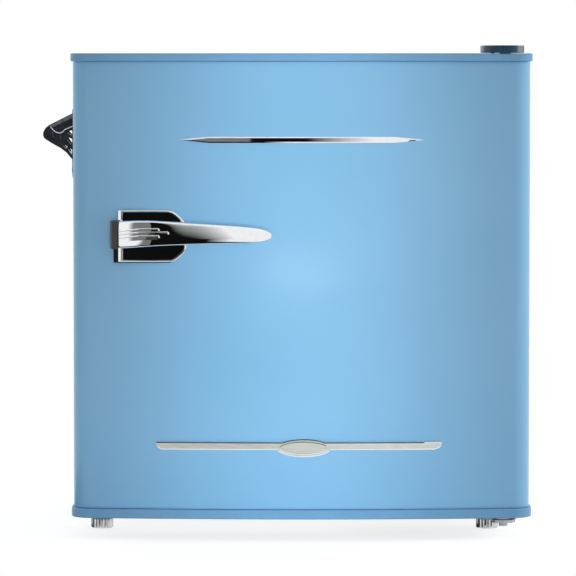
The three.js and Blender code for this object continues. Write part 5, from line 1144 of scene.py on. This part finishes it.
def blend_of(tree, share, dark, light, low=0.35, high=0.65):
    """Two colours mixed by a pattern."""
    span = add(tree, "MapRange", share, From_Min=low, From_Max=high)
    return add(tree, "Mix.RGBA", span, _6=paint_card(dark), _7=paint_card(light)).outputs[2]


def dress(material, *names):
    """Gives a material to new pieces and to carried nodes alike."""
    for name in names:
        piece = bpy.data.objects.get(name) or frame["nodes"][name]
        if not piece.material_slots:
            piece.data.materials.append(material)
        for place in piece.material_slots:
            place.material = material
    print(f"{material.name}: {len(names)} pieces")


# %% [markdown]
# ## Baked enamel on steel
#
# The skin and the wrap are sheet steel with a baked powder enamel. Such a coat is even in colour
# and gloss, with a fine orange peel a couple of millimetres across. The peel is a shallow bump,
# and a broad, faint change of tone keeps the large faces from looking computed.

# %% Blue enamel
enamel, tree, shader, place = finish("baked_blue_enamel", Roughness=0.34, IOR=1.45,
                                     Coat_Weight=0.15, Coat_Roughness=0.12)
broad = add(tree, "TexNoise", Vector=place, Scale=per_metre(160), Detail=2.0)
peel = add(tree, "TexNoise", Vector=place, Scale=per_metre(2.2), Detail=1.0)
plug(shader, Base_Color=blend_of(tree, broad, "#83BDE5", "#87C0E8"),
     Normal=add(tree, "Bump", Strength=0.25, Distance=0.03 * MM, Height=peel))
dress(enamel, "bowed_door_skin", "folded_cabinet_wrap")

# %% [markdown]
# ## Moulded plastics
#
# The end caps and the hinge cover are injection-moulded ABS, coloured in the mass. The cover is
# the caps' blue, but it is written much darker: painted shade. The mould is lightly grained, so
# they are a little duller than the enamel. One function makes such a plastic from its two tones,
# its gloss and the size of its grain.

# %% Plastics from a mould
def moulded(name, dark, light, roughness, grain, depth=0.02, **more):
    """A plastic coloured in the mass, with the fine grain that its mould left."""
    material, tree, shader, place = finish(name, Roughness=roughness, IOR=1.53, **more)
    cloud = add(tree, "TexNoise", Vector=place, Scale=per_metre(25), Detail=3.0)
    grains = add(tree, "TexNoise", Vector=place, Scale=per_metre(grain), Detail=2.0)
    plug(shader, Base_Color=blend_of(tree, cloud, dark, light),
         Normal=add(tree, "Bump", Strength=0.3, Distance=depth * MM, Height=grains),
         Roughness=add(tree, "MapRange", grains, To_Min=roughness - 0.04,
                       To_Max=roughness + 0.06))
    return material


dress(moulded("blue_abs_moulding", "#689FC9", "#6DA5CF", 0.42, 1.1),
      "moulded_top_cap", "moulded_bottom_cap")
# the hinge cover is the caps' blue; this darker blue is painted shade
dress(moulded("shaded_blue_abs_moulding", "#15394F", "#1B435B", 0.3, 1.0,
              Specular_IOR_Level=0.2), "moulded_hinge_cover")
dress(moulded("charcoal_abs_moulding", "#2D2D2E", "#373738", 0.5, 0.9),
      "pull_knuckle", "moulded_knob")
dress(moulded("black_abs_inlay", "#020303", "#050606", 0.3, 1.6, Specular_IOR_Level=0.1),
      "pull_black_panel")
dress(moulded("black_phenolic_moulding", "#151516", "#1F1F21", 0.45, 0.9),
      "moulded_starter_cover", "cord_gland", "left_moulded_foot", "right_moulded_foot")
dress(moulded("white_acetal_bush", "#E9EAE6", "#F1F2EF", 0.4, 0.8),
      "top_hinge_bush", "bottom_hinge_bush")

# %% [markdown]
# The liners are vacuum-formed high-impact polystyrene. The sheet is stretched over a mould, so it
# has a soft gloss and a faint pebble of three or four millimetres, and it takes a slight
# translucent warmth. The bezel and thermostat case are moulded from the same white.

# %% White liners
hips = moulded("vacuum_formed_polystyrene", "#F0F1EF", "#F4F5F3", 0.32, 3.2,
               Subsurface_Weight=0.05, Subsurface_Scale=0.002)
dress(hips, "formed_liner", "formed_door_liner", "moulded_bezel", "moulded_thermostat")

# %% Clear polystyrene
# The flap, the tray and the bars of the bins are clear mouldings; a cool tint shows at their rims.
clear, tree, shader, place = finish("clear_polystyrene", Roughness=0.08, IOR=1.59,
                                    Transmission_Weight=0.85, Alpha=0.85)
streaks = add(tree, "TexNoise", Vector=place, Scale=per_metre(18), Detail=2.0)
plug(shader, Base_Color=blend_of(tree, streaks, "#DDE9EE", "#E9F2F5"),
     Normal=add(tree, "Bump", Strength=0.15, Distance=0.05 * MM, Height=streaks))
dress(clear, "moulded_flap", "moulded_tray", "lower_bar", "upper_bar")

# %% [markdown]
# ## Plated and bare metals
#
# Plating follows the polish beneath it: the pull is buffed die casting under bright chrome, with
# hardly a mark. The trim is brushed along its length and plated with nickel, the opener is plated
# with black chrome, and the sheets at the back are galvanised, which leaves crystals of zinc
# several millimetres across, called spangle.

# %% Metals
def metal(name, dark, light, roughness, spread, size, stretch=(1, 1, 1), depth=0.01, bare=1.0):
    """A metal whose tone, gloss and surface vary with one pattern."""
    material, tree, shader, place = finish(name, Metallic=bare)
    scaled = add(tree, "Mapping", Vector=place, Scale=stretch)
    grain = add(tree, "TexNoise", Vector=scaled, Scale=per_metre(size), Detail=3.0)
    plug(shader, Base_Color=blend_of(tree, grain, dark, light),
         Normal=add(tree, "Bump", Strength=0.2, Distance=depth * MM, Height=grain),
         Roughness=add(tree, "MapRange", grain, To_Min=roughness, To_Max=roughness + spread))
    return material


chrome = metal("bright_chrome_plating", "#EBEDEE", "#EFF0F1", 0.02, 0.015, 4, depth=0.0005)
# the opener's throat bead takes bright chrome, not the horn's black chrome: a painted highlight
dress(chrome, "cast_lever", "lever_post", "pull_base_casting", "upper_trim_bar", "speed_line_1",
      "speed_line_2", "speed_line_3", "opener_bead", "shelf_frame", "shelf_bearer_1",
      "shelf_bearer_2", *(f"shelf_wire_{number}" for number in range(1, THIN_WIRES + 1)))
# a milky lacquer over the brushing gives back part of the light as paint does
satin = metal("brushed_nickel_lacquer", "#CCCFC9", "#DCDED9", 0.3, 0.1, 0.9,
              stretch=(0.05, 1, 1), bare=0.6)
dress(satin, "bevelled_trim_strip", "trim_boss")
# the bevels, which face up or down, are polished
for name in ("bevelled_trim_strip", "trim_boss"):
    piece = bpy.data.objects[name]
    piece.data.materials.append(chrome)
    for face in piece.data.polygons:
        face.material_index = int(face.normal.y < -0.2 and abs(face.normal.z) > 0.3)
dress(metal("polished_nickel_feet", "#C4C6C5", "#D6D8D7", 0.05, 0.04, 6),
      "left_fluted_foot", "right_fluted_foot")
dress(metal("black_chrome_plating", "#4C4E56", "#5E6068", 0.05, 0.08, 5, depth=0.02),
      "opener_horn", "opener_band", "opener_ridge", "opener_rib_1", "opener_rib_2",
      "opener_plate", "opener_screw_1", "opener_screw_2")
dress(metal("mill_aluminium_sheet", "#BFC3C6", "#D3D6D8", 0.32, 0.14, 2.2,
            stretch=(0.2, 1, 1), depth=0.03), "folded_chiller_box")
dress(metal("drawn_copper_tube", "#A9633C", "#C47D54", 0.28, 0.2, 5),
      "sensor_tube", "condenser_coil", "discharge_pipe", "suction_pipe", "drier_capsule",
      "drier_elbow", "capillary_tube")
dress(metal("zinc_plated_screw", "#9DA1A4", "#BFC3C5", 0.28, 0.15, 1.2),
      "top_hinge_screw_1", "top_hinge_screw_2", "lower_hinge_screw_1", "lower_hinge_screw_2")

# %% Galvanised sheet
# Spangle is flat crystals that each tilt a little: cells of a Voronoi pattern give every crystal
# its own tone and gloss.
zinc, tree, shader, place = finish("galvanised_steel_sheet", Metallic=0.85)
crystals = add(tree, "TexVoronoi", Vector=place, Scale=per_metre(7))
spangle = add(tree, "SeparateColor", crystals.outputs["Color"])
plug(shader, Base_Color=blend_of(tree, spangle, "#A0A6A9", "#B6BBBE", 0.0, 1.0),
     Normal=add(tree, "Bump", Strength=0.15, Distance=0.02 * MM, Height=crystals),
     Roughness=add(tree, "MapRange", spangle.outputs[1], To_Min=0.34, To_Max=0.56))
dress(zinc, "front_rail", "back_panel", "compartment_panel", "pressed_base_pan",
      "compressor_plate", "pressed_top_hinge", "pressed_bottom_hinge")

# %% [markdown]
# ## Paint, rubber and foam
#
# The compressor is dipped in black enamel, which sags a little. Grommets and the pad are EPDM
# rubber with a dusty bloom, the gasket is soft white PVC, and between the sheets lies poured
# polyurethane foam.

# %% The rest
dress(moulded("black_dip_enamel", "#121315", "#1B1C1F", 0.28, 4.0, depth=0.08, Coat_Weight=0.4,
              Coat_Roughness=0.15), "compressor_shell", "compressor_feet")
dress(moulded("epdm_rubber", "#1D1D1D", "#2B2B2A", 0.8, 0.7, depth=0.04),
      "grommet_1", "grommet_2", "grommet_3", "grommet_4")
# the pad is black rubber; where it hangs below the casting, its black is painted shadow
dress(moulded("moulded_black_rubber", "#08090A", "#0E0F10", 0.6, 0.8, depth=0.04,
              Specular_IOR_Level=0.2), "pull_rubber_pad")
dress(moulded("soft_pvc_gasket", "#D5D8D7", "#E2E4E3", 0.6, 0.9, depth=0.03,
              Sheen_Weight=0.1), "door_gasket")
foam, tree, shader, place = finish("poured_polyurethane_foam", Roughness=0.95)
bubbles = add(tree, "TexVoronoi", Vector=place, Scale=per_metre(1.8))
plug(shader, Base_Color=blend_of(tree, bubbles, "#D8C788", "#E9DCAE", 0.0, 0.8),
     Normal=add(tree, "Bump", Strength=0.5, Distance=0.3 * MM, Height=bubbles))
dress(foam, "cabinet_foam", "door_foam")

# %% [markdown]
# # The studio
#
# Chrome and gloss paint show what stands round them, so the studio is part of the finish. The
# world is plain white. The floor is pale, keeps the soft shadow, and fades into the white. It
# throws no shadow itself, so a tall lamp may reach below it: only then does its light fall evenly
# from the top of the door to the bottom. That lamp is narrow, so the door darkens to both sides.

# %% The world and the floor
AMBIENT = 0.43
WHITE = (1, 1, 1, 1)


def seen_plainly(tree):
    """Picks the rays from the camera, off mirrors and through clear pieces, and their light."""
    rays = add(tree, "LightPath")
    either = add(tree, "Math.MAXIMUM", rays.outputs["Is Camera Ray"],
                 rays.outputs["Is Glossy Ray"])
    seen = add(tree, "Math.MAXIMUM", either, rays.outputs["Is Transmission Ray"])
    return seen, add(tree, "MapRange", seen, To_Min=AMBIENT)


def set_up(piece, name, material):
    """Fixes a studio piece's place, names it and gives it its material."""
    mode("OBJECT")
    bpy.ops.object.transform_apply(location=True, rotation=True, scale=True)
    piece.name = name
    piece.data.materials.append(material)


world = bpy.data.worlds.new("studio_white")
bpy.context.scene.world = world
world.use_nodes = True
tree = world.node_tree
tree.nodes.clear()
seen, strength = seen_plainly(tree)
add(tree, "OutputWorld", add(tree, "Background", Color=WHITE, Strength=strength))

# near the object the floor is plain and pale; further out it turns into the world's own white
pale, tree, shader, place = finish("pale_studio_floor", Roughness=0.9, Specular_IOR_Level=0.0)
seen, strength = seen_plainly(tree)
paint = add(tree, "Mix.RGBA", seen, _6=(0.93, 0.93, 0.93, 1), _7=(2.0, 2.0, 2.0, 1))
plug(shader, Base_Color=paint.outputs[2])
distance = add(tree, "VectorMath.LENGTH", place).outputs["Value"]
lit = add(tree, "MapRange", distance, From_Min=0.45, From_Max=0.75)
shown = add(tree, "MapRange", distance, From_Min=0.24, From_Max=0.45, To_Min=0.78)
share = add(tree, "Mix.FLOAT", seen, _2=lit, _3=shown)
glow = add(tree, "Emission", Color=WHITE, Strength=strength)
plug(tree.nodes["Material Output"], add(tree, "MixShader", share, shader, glow))
floor = begin("circle", vertices=96, radius=6, fill_type="NGON", location=at(0, 100, 0))
set_up(floor, "studio_floor", pale)
floor.visible_shadow = False

# %% [markdown]
# The lamps' angle matters more than their number. A small spread makes the tall lamp's light a
# narrow tent over the middle of the door; broad, weak lamps fill the sides, the back and the top.

# %% Lamps
def lamp(name, place, target, width, height, watts, spread=180):
    """A soft rectangular lamp that points at a target."""
    bpy.ops.object.light_add(type="AREA", location=place)
    light = bpy.context.object
    light.name = name
    light.data.shape = "RECTANGLE"
    light.data.size = width
    light.data.size_y = height
    light.data.energy = watts
    light.data.spread = math.radians(spread)
    light.rotation_euler = (target - place).to_track_quat("-Z", "Y").to_euler()
    light.visible_camera = light.visible_glossy = False


lamp("tall_front_lamp", at(-4, -1600, 250), at(-4, 0, 250), 0.22, 1.1, 0.62, spread=18)
lamp("left_side_lamp", at(-2000, 1900, 700), at(0, 250, 250), 1.4, 1.4, 22)
lamp("right_side_lamp", at(2200, 220, 700), at(0, 250, 250), 1.4, 1.4, 26)
lamp("rear_lamp", at(0, 2800, 800), at(0, 300, 250), 1.6, 1.4, 22)
print("world, floor and 4 lamps")

# %% [markdown]
# Mirrors need something dark to show their shape, so six dark cards stand where the plated pieces
# look: one upright, one on the floor, one close below the pull, one under that for the trim, and
# two beside the front feet. They are there for mirrors alone: they throw no shadow and take no
# light from the door. The tone of the first two is set by the direction in which the lever sees
# them: a grey band on the left, then black from a sharp edge, which fades to white up to the
# right.

# %% Dark cards
def card(name, material, place, width, height, upright=False):
    """A card that only mirrors see."""
    sheet = begin("plane", size=1, location=place,
                  rotation=(math.radians(90 if upright else 0), 0, 0))
    bpy.ops.transform.resize(value=(width, 1, height) if upright else (width, height, 1))
    set_up(sheet, name, material)
    for ray in ("camera", "diffuse", "shadow", "transmission"):
        setattr(sheet, f"visible_{ray}", False)
    print(f"{name}: {width} x {height} m")


def seen_from(tree, place, eye):
    """How far a place lies to the side of an eye, in front of it and above it."""
    sight = add(tree, "VectorMath.SUBTRACT", place, eye)
    side, depth, rise = add(tree, "SeparateXYZ", sight).outputs
    return side, add(tree, "Math.MULTIPLY", depth, -1.0), rise


lever_middle = at((lever_low.x + lever_high.x) / 2, LEVER_FRONT, LEVER_AXIS)
dark, tree, _, place = finish("studio_card")
side, ahead, rise = seen_from(tree, place, lever_middle)
side = add(tree, "Math.DIVIDE", side, ahead)
rise = add(tree, "Math.DIVIDE", rise, ahead)
above = add(tree, "Math.MINIMUM", add(tree, "Math.MAXIMUM", rise, 0.0), 0.7)
below = add(tree, "Math.MINIMUM", rise, 0.0)
lean = add(tree, "Math.MULTIPLY_ADD", above, 0.1, side)
lean = add(tree, "Math.MULTIPLY_ADD", below, 0.3, lean)
lean = add(tree, "Math.MAXIMUM", lean, -0.044)
# the slope counts only right of the sharp edge, which itself slopes left below the lever
bound = add(tree, "Math.MULTIPLY_ADD", below, 0.3, -0.045)
edge = add(tree, "Math.GREATER_THAN", side, bound)
sight_line = add(tree, "Mix.FLOAT", edge, _2=side, _3=lean)
# the lever's upper edge looks far up, past the card, and stays white
high = add(tree, "Math.GREATER_THAN", rise, 2.2)
sight_line = add(tree, "Math.ADD", sight_line, high)
ramp = add(tree, "ValToRGB", add(tree, "MapRange", sight_line, From_Min=-0.5, From_Max=0.5))
TONES = [(0.0, 1.0), (0.2, 1.0), (0.3, 0.21), (0.4, 0.2), (0.454, 0.2), (0.456, 0.005),
         (0.56, 0.005), (0.68, 1.0)]
while len(ramp.color_ramp.elements) < len(TONES):
    ramp.color_ramp.elements.new(0.5)
for stop, (position, tone) in zip(ramp.color_ramp.elements, TONES):
    stop.position = position
    stop.color = (tone, tone, tone, 1)
plug(tree.nodes["Material Output"], add(tree, "Emission", Color=ramp, Strength=1.0))
card("upright_card", dark, at(0, -2400, 1201), 4.0, 2.4, upright=True)
card("floor_card", dark, at(0, -1350, 1), 4.0, 2.0)

# %% A card close below the pull
# Close to the lever, position counts more than direction. A point on this card is seen by the
# lever at one place along it, and the tone is chosen for that place: dark close in, which draws
# the lower edges of the speed lines, and further out the same grey, black and white as before.
close, tree, _, place = finish("close_card")
side, ahead, _ = seen_from(tree, place, at(ROOT + 32, LEVER_FRONT, LEVER_AXIS))
spread = add(tree, "Math.MULTIPLY_ADD", ahead, 2.5, 1.0)
along = add(tree, "Math.DIVIDE", add(tree, "Math.MULTIPLY_ADD", ahead, 0.02, side), spread)
out = add(tree, "MapRange", ahead, From_Min=0.03, From_Max=0.09)
grey = add(tree, "MapRange", out, To_Min=0.03, To_Max=0.2)
root = add(tree, "MapRange", along, From_Min=-0.021, From_Max=-0.012, To_Min=1.0, To_Max=0.0)
left = add(tree, "Mix.FLOAT", add(tree, "Math.MULTIPLY", root, out), _2=grey, _3=1.0)
reach = add(tree, "MapRange", ahead, From_Min=0.03, From_Max=0.15, To_Min=0.105, To_Max=0.055)
past = add(tree, "Math.SUBTRACT", along, reach)
right = add(tree, "MapRange", past, From_Max=0.025, To_Min=0.005)
tone = add(tree, "Mix.FLOAT", add(tree, "Math.GREATER_THAN", along, 0.0), _2=left, _3=right)
plug(tree.nodes["Material Output"], add(tree, "Emission", Color=WHITE, Strength=tone))
card("close_card", close, at(PULL_LEFT + 75, CROWN - 225, PULL_BOTTOM - 26), 0.5, 0.37)

# %% A card that the trim sees
# The trim's upper bevel looks up at the underside of that card; a plain dark one makes it a line.
plain = finish("plain_dark_card", Base_Color=(0.01, 0.01, 0.01, 1))[0]
card("trim_card", plain, at(PULL_LEFT + 102, CROWN - 225, PULL_BOTTOM - 28), 0.465, 0.36)
# and two on the floor, left of the feet in front, darken one side of their flutes
for side, x in (("left", FOOT_X), ("right", RIGHT_FOOT_X)):
    card(f"{side}_foot_card", plain, at(x - 74, FOOT_Y - 50, 0.8), 0.13, 0.13)

# %% [markdown]
# ## Camera
#
# The camera stands four metres away with a long lens, at the height of the cabinet's top, and
# looks slightly down. From so far, upright edges stay upright.

# %% The camera
DOWN, ASIDE = math.radians(3.39), math.radians(0.195)
bpy.ops.object.camera_add(location=at(0, -4035, 490), rotation=(math.pi / 2 - DOWN, 0, ASIDE))
camera = bpy.context.object
camera.data.sensor_width = 36
camera.data.lens = 247.7
camera.data.clip_end = 50
bpy.context.scene.camera = camera
bpy.context.scene.view_settings.view_transform = "Standard"
print(f"camera: a {camera.data.lens:.1f} mm lens")
